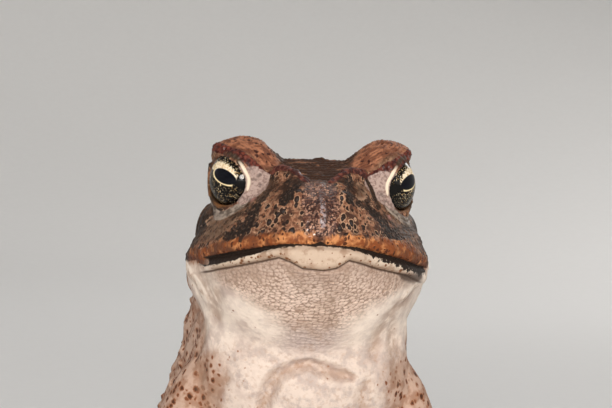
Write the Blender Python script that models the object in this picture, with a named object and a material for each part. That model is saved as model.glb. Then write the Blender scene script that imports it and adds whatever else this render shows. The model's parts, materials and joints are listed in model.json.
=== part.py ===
"""A life-size cane toad that sits upright on its rump, belly, hands and feet.

Metres, +Z up. The toad faces -Y and its own left is +X. The origin is on the floor
under the middle of its box. Sizes below are in millimetres, as x to the toad's left,
f forward and z up. Head sizes count f and z from the corner of the mouth.
"""

import math
import random

import bmesh
import bpy
from mathutils import Matrix, Vector

MM = 0.001

# Driving sizes
MOUTH_CORNER_Z = 64.0
MIDDLE_F = -19.2
SKIN_GAP = 0.3
EYE_CENTRE = (14.1, 10.6, 16.4)
EYE_RADIUS = 6.7
LID_THICKNESS = 0.8
NOSTRIL = (4.4, 27.4, 14.4)
SNOUT_RIDGE = ((24.0, 15.8), (28.5, 13.6), (31.8, 10.6), (33.2, 7.4))
TYMPANUM = (-1.5, 8.0)
TYMPANUM_RADIUS = 3.0
PAROTOID_FRONT = (13.8, -3.5, 16.0)
PAROTOID_BACK = (17.8, -30.0, -1.5)
SIDES = (("left", 1), ("right", -1))

# Trunk sections down from the neck: back point f, z, then belly point f, z, then half
# widths at the shoulder line, at half height and at the belly
TRUNK = (
    (-73.0, 17.0, -70.5, 9.0, 3.0, 4.5, 4.0),
    (-71.0, 26.0, -65.0, 2.5, 9.0, 14.0, 13.5),
    (-65.0, 37.0, -55.0, -0.6, 15.0, 22.5, 24.5),
    (-54.0, 50.0, -43.0, -0.8, 18.5, 27.0, 31.0),
    (-42.0, 60.5, -31.0, -0.7, 20.0, 27.5, 32.0),
    (-30.0, 69.0, -17.0, 2.0, 20.5, 24.5, 29.5),
    (-20.0, 75.5, -6.0, 10.0, 20.4, 21.8, 25.5),
    (-13.0, 79.5, 4.0, 21.0, 20.0, 20.6, 22.6),
    (-8.0, 82.0, 12.0, 32.0, 20.0, 20.4, 19.8),
    (-4.0, 83.0, 15.0, 41.0, 19.5, 19.6, 16.5),
    (0.0, 83.5, 14.5, 48.0, 18.0, 18.5, 14.0),
)

# Head sections from the nape to the snout: f, half width of the crown, height of the
# crown, half width at the lips, height of the mouth line, height of the throat
HEAD = (
    (-15.0, 11.0, 15.5, 19.5, -3.0, -19.0),
    (-7.0, 12.0, 18.8, 23.4, -2.4, -21.0),
    (1.0, 12.0, 20.6, 24.5, -1.6, -21.0),
    (9.0, 11.0, 20.8, 23.7, -0.1, -19.5),
    (16.0, 9.0, 19.2, 21.5, 0.5, -16.5),
    (22.0, 6.8, 17.4, 18.3, 1.4, -11.5),
    (27.0, 5.2, 15.0, 13.8, 2.4, -6.5),
    (30.8, 3.8, 12.0, 8.8, 3.5, -3.0),
    (33.0, 2.0, 8.6, 4.2, 4.1, -0.6),
)

# The gaps that part head, lower jaw and torso, as f and z lines from the mouth's corner
MOUTH_LINE = (
    (-0.3, -1.8),
    (4.0, -0.8),
    (9.0, 0.0),
    (16.0, 0.4),
    (22.0, 1.4),
    (25.0, 2.0),
    (28.0, 2.7),
    (30.8, 3.5),
    (33.0, 4.1),
    (34.2, 4.7),
    (45.0, 5.1),
)
NAPE_LINE = ((0.3, -2.1), (-5.5, 5.0), (-9.0, 14.0), (-12.0, 40.0))
THROAT_LINE = ((-0.1, -1.4), (3.0, -10.0), (9.0, -17.5), (16.0, -21.0), (45.0, -24.0))

# Eye opening, as azimuth outward from straight ahead and elevation, in degrees
EYE_OPENING = (
    (-1, -8),
    (6, -28),
    (22, -44),
    (48, -50),
    (80, -44),
    (106, -26),
    (116, 6),
    (106, 32),
    (80, 43),
    (52, 42),
    (30, 32),
    (12, 18),
    (2, 6),
)

# Where the left limbs leave the trunk, as x, f, z and three radii
SHOULDER = ((13.8, -5.0, 43.0), (8.6, 12.0, 11.0))
HIP = ((15.5, -55.0, 23.0), (12.0, 18.0, 12.0))

# Limbs of the left side, as x, f, z and radius
UPPER_ARM = (
    (14.0, -3.0, 43.0, 7.0),
    (18.5, -3.5, 38.0, 7.2),
    (22.5, -5.5, 31.0, 6.6),
    (26.0, -7.5, 24.0, 5.4),
)
FOREARM = (
    (26.5, -4.5, 22.0, 4.5),
    (28.0, -1.5, 19.0, 5.6),
    (29.0, 6.0, 13.0, 5.0),
    (29.5, 12.5, 7.0, 3.4),
)
PALM = ((29.5, 11.0, 7.0, 2.7), (29.3, 14.0, 4.6, 3.3), (29.0, 17.0, 3.6, 3.6), (28.5, 20.5, 2.6, 2.8))
FINGERS = (
    ((26.5, 18.0, 2.4, 1.9), (22.5, 22.0, 1.6, 1.5), (19.5, 25.5, 1.3, 1.5)),
    ((27.5, 20.0, 2.4, 1.9), (25.5, 26.0, 1.6, 1.4), (24.0, 31.0, 1.3, 1.5)),
    ((29.5, 20.0, 2.4, 1.9), (30.5, 27.0, 1.6, 1.5), (31.0, 33.0, 1.3, 1.5)),
    ((31.0, 18.0, 2.4, 1.9), (35.5, 22.5, 1.6, 1.5), (39.0, 26.5, 1.3, 1.5)),
)
THIGH = (
    (17.0, -60.0, 15.0, 10.5),
    (26.0, -49.0, 16.0, 11.5),
    (35.0, -37.0, 17.5, 10.0),
    (41.5, -27.5, 18.5, 7.2),
)
SHANK = (
    (42.5, -30.0, 16.5, 6.0),
    (43.5, -35.0, 15.2, 7.2),
    (41.5, -45.0, 12.0, 7.0),
    (38.8, -55.0, 8.6, 4.8),
    (37.8, -60.0, 6.4, 3.6),
)
TARSUS = (
    (37.5, -61.5, 5.6, 4.6),
    (40.0, -54.0, 4.6, 4.0),
    (43.0, -43.0, 3.8, 4.4),
    (46.0, -34.0, 2.8, 3.6),
)
TOES = (
    ((43.5, -38.0, 2.6, 1.9), (41.5, -32.0, 1.6, 1.5), (40.0, -27.5, 1.3, 1.4)),
    ((45.0, -34.0, 2.6, 2.0), (44.0, -27.0, 1.7, 1.5), (43.5, -20.5, 1.3, 1.4)),
    ((46.5, -33.0, 2.6, 2.1), (48.0, -23.0, 1.7, 1.6), (49.0, -13.5, 1.3, 1.5)),
    ((48.0, -34.0, 2.6, 2.1), (52.0, -21.0, 1.7, 1.6), (55.5, -7.0, 1.3, 1.5)),
    ((48.0, -37.0, 2.6, 1.9), (53.0, -29.0, 1.6, 1.5), (56.5, -22.0, 1.3, 1.4)),
)
WEB = (49.0, -28.0, 1.5)

SKIN_BROWN = (0.20, 0.12, 0.075)
SKIN_PALE = (0.55, 0.42, 0.33)


def at(x, f, z):
    """A point in metres from its x, forward and up values in millimetres."""
    return Vector((x, MIDDLE_F - f, z)) * MM


def head_at(x, f, z):
    """As at(), counted from the corner of the mouth."""
    return at(x, f, z + MOUTH_CORNER_Z)


def between(rows, f):
    """The row of a table at forward value f, read on straight lines between its rows."""
    for low, high in zip(rows, rows[1:]):
        if f <= high[0]:
            t = max(0.0, (f - low[0]) / (high[0] - low[0]))
            return tuple(a + (b - a) * t for a, b in zip(low, high))
    return rows[-1]


def spline(t, p, q, r, s):
    bend = (2 * p - 5 * q + 4 * r - s) * t**2 + (3 * q - p - 3 * r + s) * t**3
    return 0.5 * (2 * q + (r - p) * t + bend)


def smooth_path(points, steps, closed=False):
    """Points on the Catmull-Rom curve through the given tuples."""
    count = len(points)

    def pick(i):
        return points[i % count] if closed else points[min(max(i, 0), count - 1)]

    path = []
    for i in range(count if closed else count - 1):
        spans = list(zip(pick(i - 1), pick(i), pick(i + 1), pick(i + 2)))
        for step in range(steps):
            path.append(tuple(spline(step / steps, *span) for span in spans))
    return path if closed else path + [tuple(points[-1])]


# Small tools


def add_object(name, mesh):
    made = bpy.data.objects.new(name, mesh)
    bpy.context.scene.collection.objects.link(made)
    return made


def from_bmesh(name, bm):
    bmesh.ops.recalc_face_normals(bm, faces=bm.faces)
    mesh = bpy.data.meshes.new(name)
    bm.to_mesh(mesh)
    bm.free()
    return add_object(name, mesh)


def loft(name, rings):
    """A closed skin over rings of equally many points, with a fan at each end."""
    bm = bmesh.new()
    loops = [[bm.verts.new(p) for p in ring] for ring in rings]
    count = len(rings[0])
    for lower, upper in zip(loops, loops[1:]):
        for i in range(count):
            j = (i + 1) % count
            bm.faces.new((lower[i], lower[j], upper[j], upper[i]))
    for loop in (loops[0], loops[-1]):
        tip = bm.verts.new(sum((v.co for v in loop), Vector()) / count)
        for i in range(count):
            bm.faces.new((loop[i], loop[(i + 1) % count], tip))
    return from_bmesh(name, bm)


def ball(name, centre, radii, along=None, roll=0.0, segments=20, rings=12):
    """An ellipsoid whose second radius lies along a direction; roll turns it about that."""
    bm = bmesh.new()
    bmesh.ops.create_uvsphere(bm, u_segments=segments, v_segments=rings, radius=1.0)
    bmesh.ops.scale(bm, vec=Vector(radii) * MM, verts=bm.verts)
    turn = Matrix.Rotation(math.radians(roll), 4, "Y")
    if along is not None:
        turn = Vector(along).to_track_quat("Y", "Z").to_matrix().to_4x4() @ turn
    bmesh.ops.transform(bm, matrix=Matrix.Translation(centre) @ turn, verts=bm.verts)
    return from_bmesh(name, bm)


def tube(name, stations, steps=3, sides=14):
    """A limb through (point, radius in mm) stations with domed ends."""
    path = smooth_path([(*p, r * MM) for p, r in stations], steps)
    centres = [Vector(p[:3]) for p in path]
    radii = [p[3] for p in path]
    start, first = centres[0], (centres[0] - centres[1]).normalized()
    end, last = centres[-1], (centres[-1] - centres[-2]).normalized()
    for turn in (40, 72):
        rise, shrink = math.sin(math.radians(turn)), math.cos(math.radians(turn))
        centres.insert(0, start + first * rise * path[0][3])
        radii.insert(0, path[0][3] * shrink)
        centres.append(end + last * rise * path[-1][3])
        radii.append(path[-1][3] * shrink)
    turns = [2 * math.pi * k / sides for k in range(sides)]
    rings = []
    for i, (centre, radius) in enumerate(zip(centres, radii)):
        ahead = centres[min(i + 1, len(centres) - 1)] - centres[max(i - 1, 0)]
        side = ahead.cross(Vector((0, 0, 1))).normalized()
        top = side.cross(ahead).normalized()
        rings.append(
            [centre + (side * math.cos(a) + top * math.sin(a)) * radius for a in turns]
        )
    return loft(name, rings)


def limb(name, stations, sign, sides=14):
    """A tube through x, f, z and radius stations, on the left or mirrored to the right."""
    route = [(at(sign * x, f, z), radius) for x, f, z, radius in stations]
    return tube(name, route, sides=sides)


def apply_modifiers(obj):
    """Gives the object the mesh that its modifiers make, and drops them."""
    graph = bpy.context.evaluated_depsgraph_get()
    mesh = bpy.data.meshes.new_from_object(obj.evaluated_get(graph), depsgraph=graph)
    obj.modifiers.clear()
    obj.data = mesh
    return obj


def remove(objects):
    for obj in objects:
        bpy.data.objects.remove(obj)


def join(name, pieces):
    """One object that holds all the pieces' faces, still as separate shells."""
    bm = bmesh.new()
    for piece in pieces:
        bm.from_mesh(piece.data)
    remove(pieces)
    mesh = bpy.data.meshes.new(name)
    bm.to_mesh(mesh)
    bm.free()
    return add_object(name, mesh)


def fuse(name, pieces, voxel, rounds):
    """The pieces as one skin of even faces, with its creases softened."""
    made = join(name, pieces)
    remesh = made.modifiers.new("remesh", "REMESH")
    remesh.mode = "VOXEL"
    remesh.voxel_size = voxel * MM
    soften = made.modifiers.new("soften", "SMOOTH")
    soften.factor = 0.5
    soften.iterations = rounds
    return keep_largest(apply_modifiers(made))


def triangles_of(obj):
    return sum(len(face.vertices) - 2 for face in obj.data.polygons)


def weld(obj):
    """Merges points that a cut left on top of each other and splits faces to triangles."""
    bm = bmesh.new()
    bm.from_mesh(obj.data)
    bmesh.ops.remove_doubles(bm, verts=bm.verts, dist=0.005 * MM)
    bmesh.ops.dissolve_degenerate(bm, edges=bm.edges, dist=0.005 * MM)
    bmesh.ops.triangulate(bm, faces=bm.faces)
    bm.to_mesh(obj.data)
    bm.free()
    return obj


def thin_out(obj, triangles):
    """Reduces the object to about this many triangles."""
    reduce = obj.modifiers.new("reduce", "DECIMATE")
    reduce.ratio = triangles / triangles_of(obj)
    return apply_modifiers(obj)


def grown(obj):
    """A copy of the object with its skin moved out by the gap."""
    copy = add_object(obj.name + "_grown", obj.data.copy())
    push = copy.modifiers.new("push", "DISPLACE")
    push.mid_level = 0.0
    push.strength = SKIN_GAP * MM
    return apply_modifiers(copy)


def combine(obj, other, operation, solver="EXACT"):
    """Cuts the other object from this one or adds it, and removes the other."""
    change = obj.modifiers.new("combine", "BOOLEAN")
    change.operation = operation
    change.solver = solver
    change.object = other
    apply_modifiers(obj)
    remove([other])
    return obj


def cut(obj, other, solver="EXACT"):
    return combine(obj, other, "DIFFERENCE", solver)


def shells_of(bm):
    """The separate closed surfaces of a mesh, as sets of vertices, largest first."""
    left = set(bm.verts)
    shells = []
    while left:
        shell, edge = set(), [next(iter(left))]
        while edge:
            vert = edge.pop()
            if vert not in shell:
                shell.add(vert)
                edge.extend(e.other_vert(vert) for e in vert.link_edges)
        shells.append(shell)
        left -= shell
    return sorted(shells, key=len, reverse=True)


def keep_shell(obj, chosen):
    """Keeps only the closed surface that chosen picks from the object's surfaces."""
    bm = bmesh.new()
    bm.from_mesh(obj.data)
    kept = chosen(shells_of(bm))
    spare = [v for v in bm.verts if v not in kept]
    bmesh.ops.delete(bm, geom=spare, context="VERTS")
    bm.to_mesh(obj.data)
    bm.free()
    return obj


def keep_largest(obj):
    return keep_shell(obj, lambda shells: shells[0])


def offset_line(line, distance):
    """The f and z line moved to its left by a distance."""
    moved = []
    for i, (f, z) in enumerate(line):
        ahead, behind = line[min(i + 1, len(line) - 1)], line[max(i - 1, 0)]
        run, rise = ahead[0] - behind[0], ahead[1] - behind[1]
        length = math.hypot(run, rise)
        moved.append((f - rise / length * distance, z + run / length * distance))
    return moved


def sheet(line):
    """A sheet of the gap's thickness that follows a line right across the body."""
    half_width = 80.0
    outline = offset_line(line, SKIN_GAP / 2) + offset_line(line, -SKIN_GAP / 2)[::-1]
    bm = bmesh.new()
    face = bm.faces.new([bm.verts.new(head_at(-half_width, f, z)) for f, z in outline])
    swept = bmesh.ops.extrude_face_region(bm, geom=[face])["geom"]
    verts = [v for v in swept if isinstance(v, bmesh.types.BMVert)]
    bmesh.ops.translate(bm, vec=Vector((2 * half_width * MM, 0, 0)), verts=verts)
    return from_bmesh("sheet", bm)


def floor_block():
    """What lies below the floor."""
    bm = bmesh.new()
    bmesh.ops.create_cube(bm, size=1.0)
    bmesh.ops.scale(bm, vec=(0.3, 0.3, 0.02), verts=bm.verts)
    bmesh.ops.translate(bm, vec=(0, 0, -0.01), verts=bm.verts)
    return from_bmesh("floor_block", bm)


def paint(obj, name, colour, roughness):
    """Gives a finished object its Principled material and smooth shading."""
    material = bpy.data.materials.new(name)
    material.use_nodes = True
    shader = material.node_tree.nodes["Principled BSDF"]
    shader.inputs["Base Color"].default_value = (*colour, 1.0)
    shader.inputs["Roughness"].default_value = roughness
    shader.inputs["Metallic"].default_value = 0.0
    obj.data.materials.clear()
    obj.data.materials.append(material)
    obj.data.shade_smooth()
    obj.data.set_sharp_from_angle(angle=math.radians(40))
    return obj


# Warts


def wart(centre, normal, radius):
    """A low pointed dome that stands on the skin, sunk well into it."""
    bm = bmesh.new()
    bmesh.ops.create_uvsphere(bm, u_segments=7, v_segments=4, radius=radius)
    bmesh.ops.scale(bm, vec=(1, 1, 0.75), verts=bm.verts)
    turn = normal.to_track_quat("Z", "Y").to_matrix().to_4x4()
    bmesh.ops.transform(bm, matrix=Matrix.Translation(centre) @ turn, verts=bm.verts)
    return from_bmesh("wart", bm)


def add_warts(obj, seed, count, sizes, others, allowed):
    """Adds seeded warts to the object where allowed(point, normal) says, clear of others."""
    rng = random.Random(seed)
    faces = obj.data.polygons
    places = []
    for face in rng.choices(faces, [face.area for face in faces], k=count * 15):
        radius = rng.uniform(*sizes) * MM
        point = face.center - face.normal * radius * 0.1
        gaps = [(point - p).length - r for p, _, r in places]
        gaps += [(point - piece.closest_point_on_mesh(point)[1]).length for piece in others]
        clear = min(gaps) > radius + SKIN_GAP * MM
        if clear and len(places) < count and allowed(point, face.normal):
            places.append((point, face.normal.copy(), radius))
    warts = join("warts", [wart(*place) for place in places])
    return keep_largest(combine(obj, warts, "UNION"))


# Head and trunk


def trunk_form():
    rings = []
    for back_f, back_z, belly_f, belly_z, shoulder, middle, belly in smooth_path(TRUNK, 3):
        half = [
            (0.0, 0.0),
            (0.55 * shoulder, 0.025),
            (shoulder, 0.15),
            (middle, 0.45),
            (belly, 0.75),
            (0.62 * belly, 0.95),
            (0.0, 1.0),
        ]
        outline = half + [(-x, t) for x, t in half[-2:0:-1]]
        rings.append(
            [
                at(x, back_f + (belly_f - back_f) * t, back_z + (belly_z - back_z) * t)
                for x, t in smooth_path(outline, 3, closed=True)
            ]
        )
    return loft("trunk", rings)


def head_ring(row):
    """One section of the head: flat crown, sloping cheek, lips and hanging throat."""
    f, crown, top, lips, mouth, low = row
    small = min(1.0, lips / 16.0)
    half = [
        (0.0, top),
        (crown * 0.6, top - 0.1),
        (crown, top - 0.7),
        ((crown + lips) / 2 + 0.3, (top + mouth) / 2 + 1.2),
        (lips - 0.5, mouth + 3.4 * small),
        (lips, mouth + 0.6 * small),
        (lips - 0.9, mouth - 2.6 * small),
        (lips * 0.78, (mouth + low) / 2 - 1.6 * small),
        (lips * 0.4, low + 0.8 * small),
        (0.0, low),
    ]
    outline = half + [(-x, z) for x, z in half[-2:0:-1]]
    return [head_at(x, f, z) for x, z in smooth_path(outline, 3, closed=True)]


def head_form():
    return loft("head_form", [head_ring(row) for row in smooth_path(HEAD, 4)])


def lip_roll(name, rise, inset, radius):
    """A roll of flesh along the edge of the mouth, from corner to corner."""
    forward = [2.0, 8.0, 14.0, 19.0, 23.0, 26.5, 29.5, 31.8]
    route = [(1, f) for f in forward] + [(-1, f) for f in forward[::-1]]
    stations = []
    for sign, f in route:
        row = between(HEAD, f)
        point = head_at(sign * (row[3] - inset), f - inset * 0.4, row[4] + rise)
        stations.append((point, radius))
    return tube(name, stations, sides=10)


def face_forms(sign):
    """What swells from one side of the head: orbit, brow, crest, temple and jaw angle."""
    eye = head_at(sign * EYE_CENTRE[0], EYE_CENTRE[1], EYE_CENTRE[2])
    lids = EYE_RADIUS + LID_THICKNESS + SKIN_GAP
    brow = head_at(sign * 13.4, 7.6, 20.4)
    crest = ((9.8, 15.6, 16.9), (7.6, 18.6, 18.2), (5.4, 22.0, 17.6), (3.6, 26.0, 15.2))
    fold = ((8.6, 16.2, 16.6), (11.2, 15.6, 18.4), (14.2, 13.8, 20.2), (17.6, 10.4, 22.0))
    return [
        ball("orbit", head_at(sign * 11.4, 6.0, 14.0), (6.8, 8.6, 7.0)),
        ball("lids", eye, (lids, lids, lids)),
        ball("brow", brow, (7.6, 8.8, 4.3), along=(sign * -0.1, -1, -0.1), roll=sign * 27),
        tube("fold", [(head_at(sign * x, f, z), 1.7) for x, f, z in fold], sides=10),
        tube("crest", [(head_at(sign * x, f, z), 1.2) for x, f, z in crest], sides=10),
        ball("nostril_mound", head_at(sign * 4.0, 27.4, 12.8), (2.6, 3.0, 2.6)),
        ball("temple", head_at(sign * 15.2, 1.5, 6.4), (7.5, 8.5, 6.4)),
        ball("jaw_angle", head_at(sign * 20.2, -1.5, -4.6), (4.2, 8.0, 4.6)),
    ]


def body_form():
    """Head and trunk in one skin of even faces."""
    pieces = [trunk_form(), head_form()]
    for _, sign in SIDES:
        pieces += face_forms(sign)
        for (x, f, z), radii in (SHOULDER, HIP):
            pieces.append(ball("limb_root", at(sign * x, f, z), radii, along=(0, -1, 0.6)))
    pieces.append(lip_roll("upper_lip", 1.9, 1.1, 1.7))
    pieces.append(lip_roll("lower_lip", -1.7, 1.3, 1.5))
    pieces.append(tube("ridge", [(head_at(0, f, z), 1.3) for f, z in SNOUT_RIDGE], sides=10))
    pieces.append(ball("chin", head_at(0, 30.0, 1.0), (4.8, 3.6, 2.9)))
    return fuse("body", pieces, voxel=0.8, rounds=3)


def eye_opening(sign):
    """What the lids leave free, as a cone from the middle of the eye."""
    centre = head_at(sign * EYE_CENTRE[0], EYE_CENTRE[1], EYE_CENTRE[2])
    depth = 14.0 * MM
    rim = []
    for azimuth, elevation in smooth_path(EYE_OPENING, 3, closed=True):
        a, e = math.radians(azimuth), math.radians(elevation)
        aside, ahead = math.sin(a) * math.cos(e), math.cos(a) * math.cos(e)
        rim.append(Vector((sign * aside, -ahead, math.sin(e))))
    middle = sum(rim, Vector()).normalized()
    bm = bmesh.new()
    tip = bm.verts.new(centre + middle * MM)
    cap = bm.verts.new(centre + middle * depth)
    ring = [bm.verts.new(centre + way * depth) for way in rim]
    for vert, after in zip(ring, ring[1:] + ring[:1]):
        bm.faces.new((tip, vert, after))
        bm.faces.new((cap, after, vert))
    return from_bmesh("eye_opening", bm)


def sunk_in(pieces, name, centre, radii, along, roll=0.0, segments=16, rings=10):
    """An ellipsoid set into a socket that leaves the gap all round it."""
    socket = [radius + SKIN_GAP for radius in radii]
    for piece in pieces:
        cut(piece, ball("socket", centre, socket, along, roll, segments, rings))
    return ball(name, centre, radii, along, roll, segments, rings)


def on_skin(body, f, z, sign):
    """Where a line from the side at these head values meets the skin, and its normal."""
    start = head_at(sign * 90.0, f, z)
    _, point, normal, _ = body.ray_cast(start, Vector((-sign, 0, 0)))
    return point, normal


def glands_and_eyes(head, torso):
    """Sets the eyes, eardrums and parotoid glands into sockets."""
    nodes = []
    for side, sign in SIDES:
        eye = head_at(sign * EYE_CENTRE[0], EYE_CENTRE[1], EYE_CENTRE[2])
        front = head_at(sign * PAROTOID_FRONT[0], *PAROTOID_FRONT[1:])
        back = head_at(sign * PAROTOID_BACK[0], *PAROTOID_BACK[1:])
        drum, normal = on_skin(head, *TYMPANUM, sign)
        length = (back - front).length / 2 / MM
        glands = (6.6, length, 4.8)
        flat = (TYMPANUM_RADIUS, 0.8, TYMPANUM_RADIUS * 1.1)
        gland = sunk_in(
            (head, torso), "parotoid_" + side, (front + back) / 2, glands, back - front, sign * 48
        )
        eardrum = sunk_in(
            (head,), "tympanum_" + side, drum - normal * 0.4 * MM, flat, normal, rings=6
        )
        eyeball = sunk_in(
            (head,), "eye_" + side, eye, (EYE_RADIUS,) * 3, (sign, -1, 0), segments=18
        )
        cut(head, eye_opening(sign))
        pit = head_at(sign * NOSTRIL[0], *NOSTRIL[1:])
        cut(head, ball("pit", pit, (0.9, 1.7, 0.8), along=(sign * 0.5, -1, 0.5), rings=8))
        nodes.append(paint(gland, gland.name, (0.30, 0.19, 0.12), 0.6))
        nodes.append(paint(eardrum, eardrum.name, (0.26, 0.16, 0.10), 0.5))
        nodes.append(paint(eyeball, eyeball.name, (0.05, 0.04, 0.02), 0.1))
    return nodes


def middle_of(shell):
    return sum((v.co for v in shell), Vector()) / len(shell)


def head_jaw_torso(body):
    """Parts the body along the mouth, the nape and the throat fold."""
    for line in (MOUTH_LINE, NAPE_LINE, THROAT_LINE):
        cut(body, sheet(line), "MANIFOLD")

    def by_height(shells):
        return sorted(shells[:3], key=lambda shell: middle_of(shell).z)

    torso, jaw, head = [
        keep_shell(add_object(name, body.data.copy()), lambda s, i=i: by_height(s)[i])
        for i, name in enumerate(("torso", "lower_jaw", "head"))
    ]
    remove([body])
    return (
        thin_out(weld(head), 2450),
        thin_out(weld(jaw), 760),
        thin_out(weld(torso), 1900),
    )


# Limbs


def hand_form(name, sign):
    pieces = [limb("palm", PALM, sign, sides=12)]
    pieces += [limb("finger", finger, sign, sides=10) for finger in FINGERS]
    return thin_out(fuse(name, pieces, voxel=0.45, rounds=2), 500)


def foot_form(name, sign):
    x, f, z = WEB
    pieces = [limb("tarsus", TARSUS, sign, sides=12)]
    pieces += [limb("toe", toe, sign, sides=10) for toe in TOES]
    pieces.append(ball("web", at(sign * x, f, z), (5.0, 8.5, 1.0), along=(sign * 0.3, -1, 0)))
    return thin_out(fuse(name, pieces, voxel=0.45, rounds=2), 660)


def limbs_of(side, sign):
    """The six limb nodes of one side, each cut free of its neighbours."""
    upper_arm = limb("upper_arm_" + side, UPPER_ARM, sign, sides=12)
    forearm = limb("forearm_" + side, FOREARM, sign, sides=12)
    hand = cut(hand_form("hand_" + side, sign), grown(forearm))
    cut(forearm, grown(upper_arm))
    thigh = limb("thigh_" + side, THIGH, sign)
    shank = limb("shank_" + side, SHANK, sign, sides=12)
    foot = foot_form("foot_" + side, sign)
    cut(cut(shank, grown(thigh)), grown(foot))
    return [upper_arm, forearm, hand, thigh, shank, foot]


def warty_skin(head, jaw, torso, limbs):
    """Warts over the back and flanks, small ones on the crown and a few on the legs."""

    def on_back(point, normal):
        return normal.z > -0.25 and point.y > at(0, -8, 0).y

    def on_crown(point, normal):
        return normal.z > 0.3 and point.y > head_at(0, 9, 0).y

    def on_top(point, normal):
        return normal.z > 0.2

    add_warts(torso, 11, 40, (1.1, 2.4), [head, jaw, *limbs], on_back)
    add_warts(head, 5, 12, (0.8, 1.3), [torso, jaw], on_crown)
    for piece in limbs:
        if piece.name.startswith(("thigh", "shank")):
            others = [other for other in [torso, *limbs] if other != piece]
            add_warts(piece, 3, 4, (0.9, 1.6), others, on_top)


def main():
    head, jaw, torso = head_jaw_torso(body_form())
    limbs = [piece for side, sign in SIDES for piece in limbs_of(side, sign)]
    for piece in limbs:
        keep_largest(cut(cut(piece, grown(torso)), floor_block()))
    warty_skin(head, jaw, torso, limbs)
    glands_and_eyes(head, torso)
    cut(torso, floor_block())
    for piece in (head, jaw, torso):
        keep_largest(piece)
    for piece in (head, torso, *limbs):
        paint(piece, piece.name, SKIN_BROWN, 0.6)
    paint(jaw, jaw.name, SKIN_PALE, 0.6)


for old in list(bpy.data.objects):
    bpy.data.objects.remove(old)
main()
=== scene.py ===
"""The looks of a life-size cane toad: one warty skin over its solids, and its eyes.

Lengths are in millimetres until a mesh is written. Places on the toad are x to its left,
f forward and z up, with f and z counted from the corner of the mouth. Shapes given once
for the left side are mirrored to the right. Colours are in percent.
"""

import json
import math

import bmesh
import bpy
import numpy as np
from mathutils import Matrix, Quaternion, Vector
from mathutils.bvhtree import BVHTree
from mathutils.kdtree import KDTree

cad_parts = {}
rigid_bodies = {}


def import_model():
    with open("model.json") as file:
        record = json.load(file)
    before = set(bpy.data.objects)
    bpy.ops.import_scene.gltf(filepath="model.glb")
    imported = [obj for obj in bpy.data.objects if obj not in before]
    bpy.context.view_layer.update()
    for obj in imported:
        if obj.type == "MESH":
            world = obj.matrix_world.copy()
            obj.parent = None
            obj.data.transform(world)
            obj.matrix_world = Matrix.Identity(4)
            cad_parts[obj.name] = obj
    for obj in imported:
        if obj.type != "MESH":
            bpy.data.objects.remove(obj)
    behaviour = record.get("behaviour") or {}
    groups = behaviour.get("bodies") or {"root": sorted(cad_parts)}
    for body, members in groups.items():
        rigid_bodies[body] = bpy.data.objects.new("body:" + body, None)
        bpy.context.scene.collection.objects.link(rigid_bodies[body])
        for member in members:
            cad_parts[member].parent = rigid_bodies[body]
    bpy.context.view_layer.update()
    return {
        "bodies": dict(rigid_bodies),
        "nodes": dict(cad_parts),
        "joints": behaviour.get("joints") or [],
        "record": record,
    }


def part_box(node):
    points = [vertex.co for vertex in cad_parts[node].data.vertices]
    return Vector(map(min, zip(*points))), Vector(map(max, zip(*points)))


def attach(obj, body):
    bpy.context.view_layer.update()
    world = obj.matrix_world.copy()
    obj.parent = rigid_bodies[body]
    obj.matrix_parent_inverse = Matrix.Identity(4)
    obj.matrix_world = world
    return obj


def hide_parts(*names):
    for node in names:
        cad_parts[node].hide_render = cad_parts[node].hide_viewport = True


MM = 0.001

# Driving sizes, as in the solids
MIDDLE_F = -19.2
MOUTH_CORNER_Z = 64.0
EYE_CENTRE = (14.1, 10.6, 16.4)
EYE_RADIUS = 6.7
# The edge of the lids over azimuth and elevation
EYE_OPENING = (
    (-3, -8), (1, -28), (18, -46), (48, -52), (80, -46), (108, -26), (118, 6),
    (108, 34), (80, 46), (52, 45), (28, 36), (9, 20), (-1, 6),
)
# Heights of the mouth over f
MOUTH_LINE = (
    (-0.3, -1.8), (4.0, -0.8), (9.0, 0.0), (16.0, 0.4), (22.0, 1.4), (25.0, 2.0),
    (28.0, 2.7), (30.8, 3.5), (33.0, 4.1), (34.2, 4.7), (45.0, 5.1),
)

# Eyes and lids
EYE_PLAY = 0.04
LID_EDGE = EYE_RADIUS + 0.5
LID_RADIUS = 0.46
LID_TURN = 3.5
LID_LIFT = 8.0
PUPIL_AXIS = {1: (51.0, 6.5), -1: (38.0, 4.5)}
PUPIL_SLANT = 21.0
PUPIL_HALF = (2.85, 1.34)

# How the skin is made
SKIN_PUSH = 0.25
VOXEL = 0.5
SMOOTHING = {
    "torso": 1.0, "head": 0.22, "lower_jaw": 0.5, "parotoid": 0.7, "tympanum": 0.6, "upper_arm": 0.6,
    "forearm": 0.6, "thigh": 0.8, "shank": 0.6, "hand": 0.12, "foot": 0.12,
}
FLESH_ROUNDS = 40
NECK_ROUNDS = 160
PALE_ROUNDS = 150
FRONT_FACE_AREA = 0.25
WARTS = 420
SMALL_WARTS = 2600
PORES = 260

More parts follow.
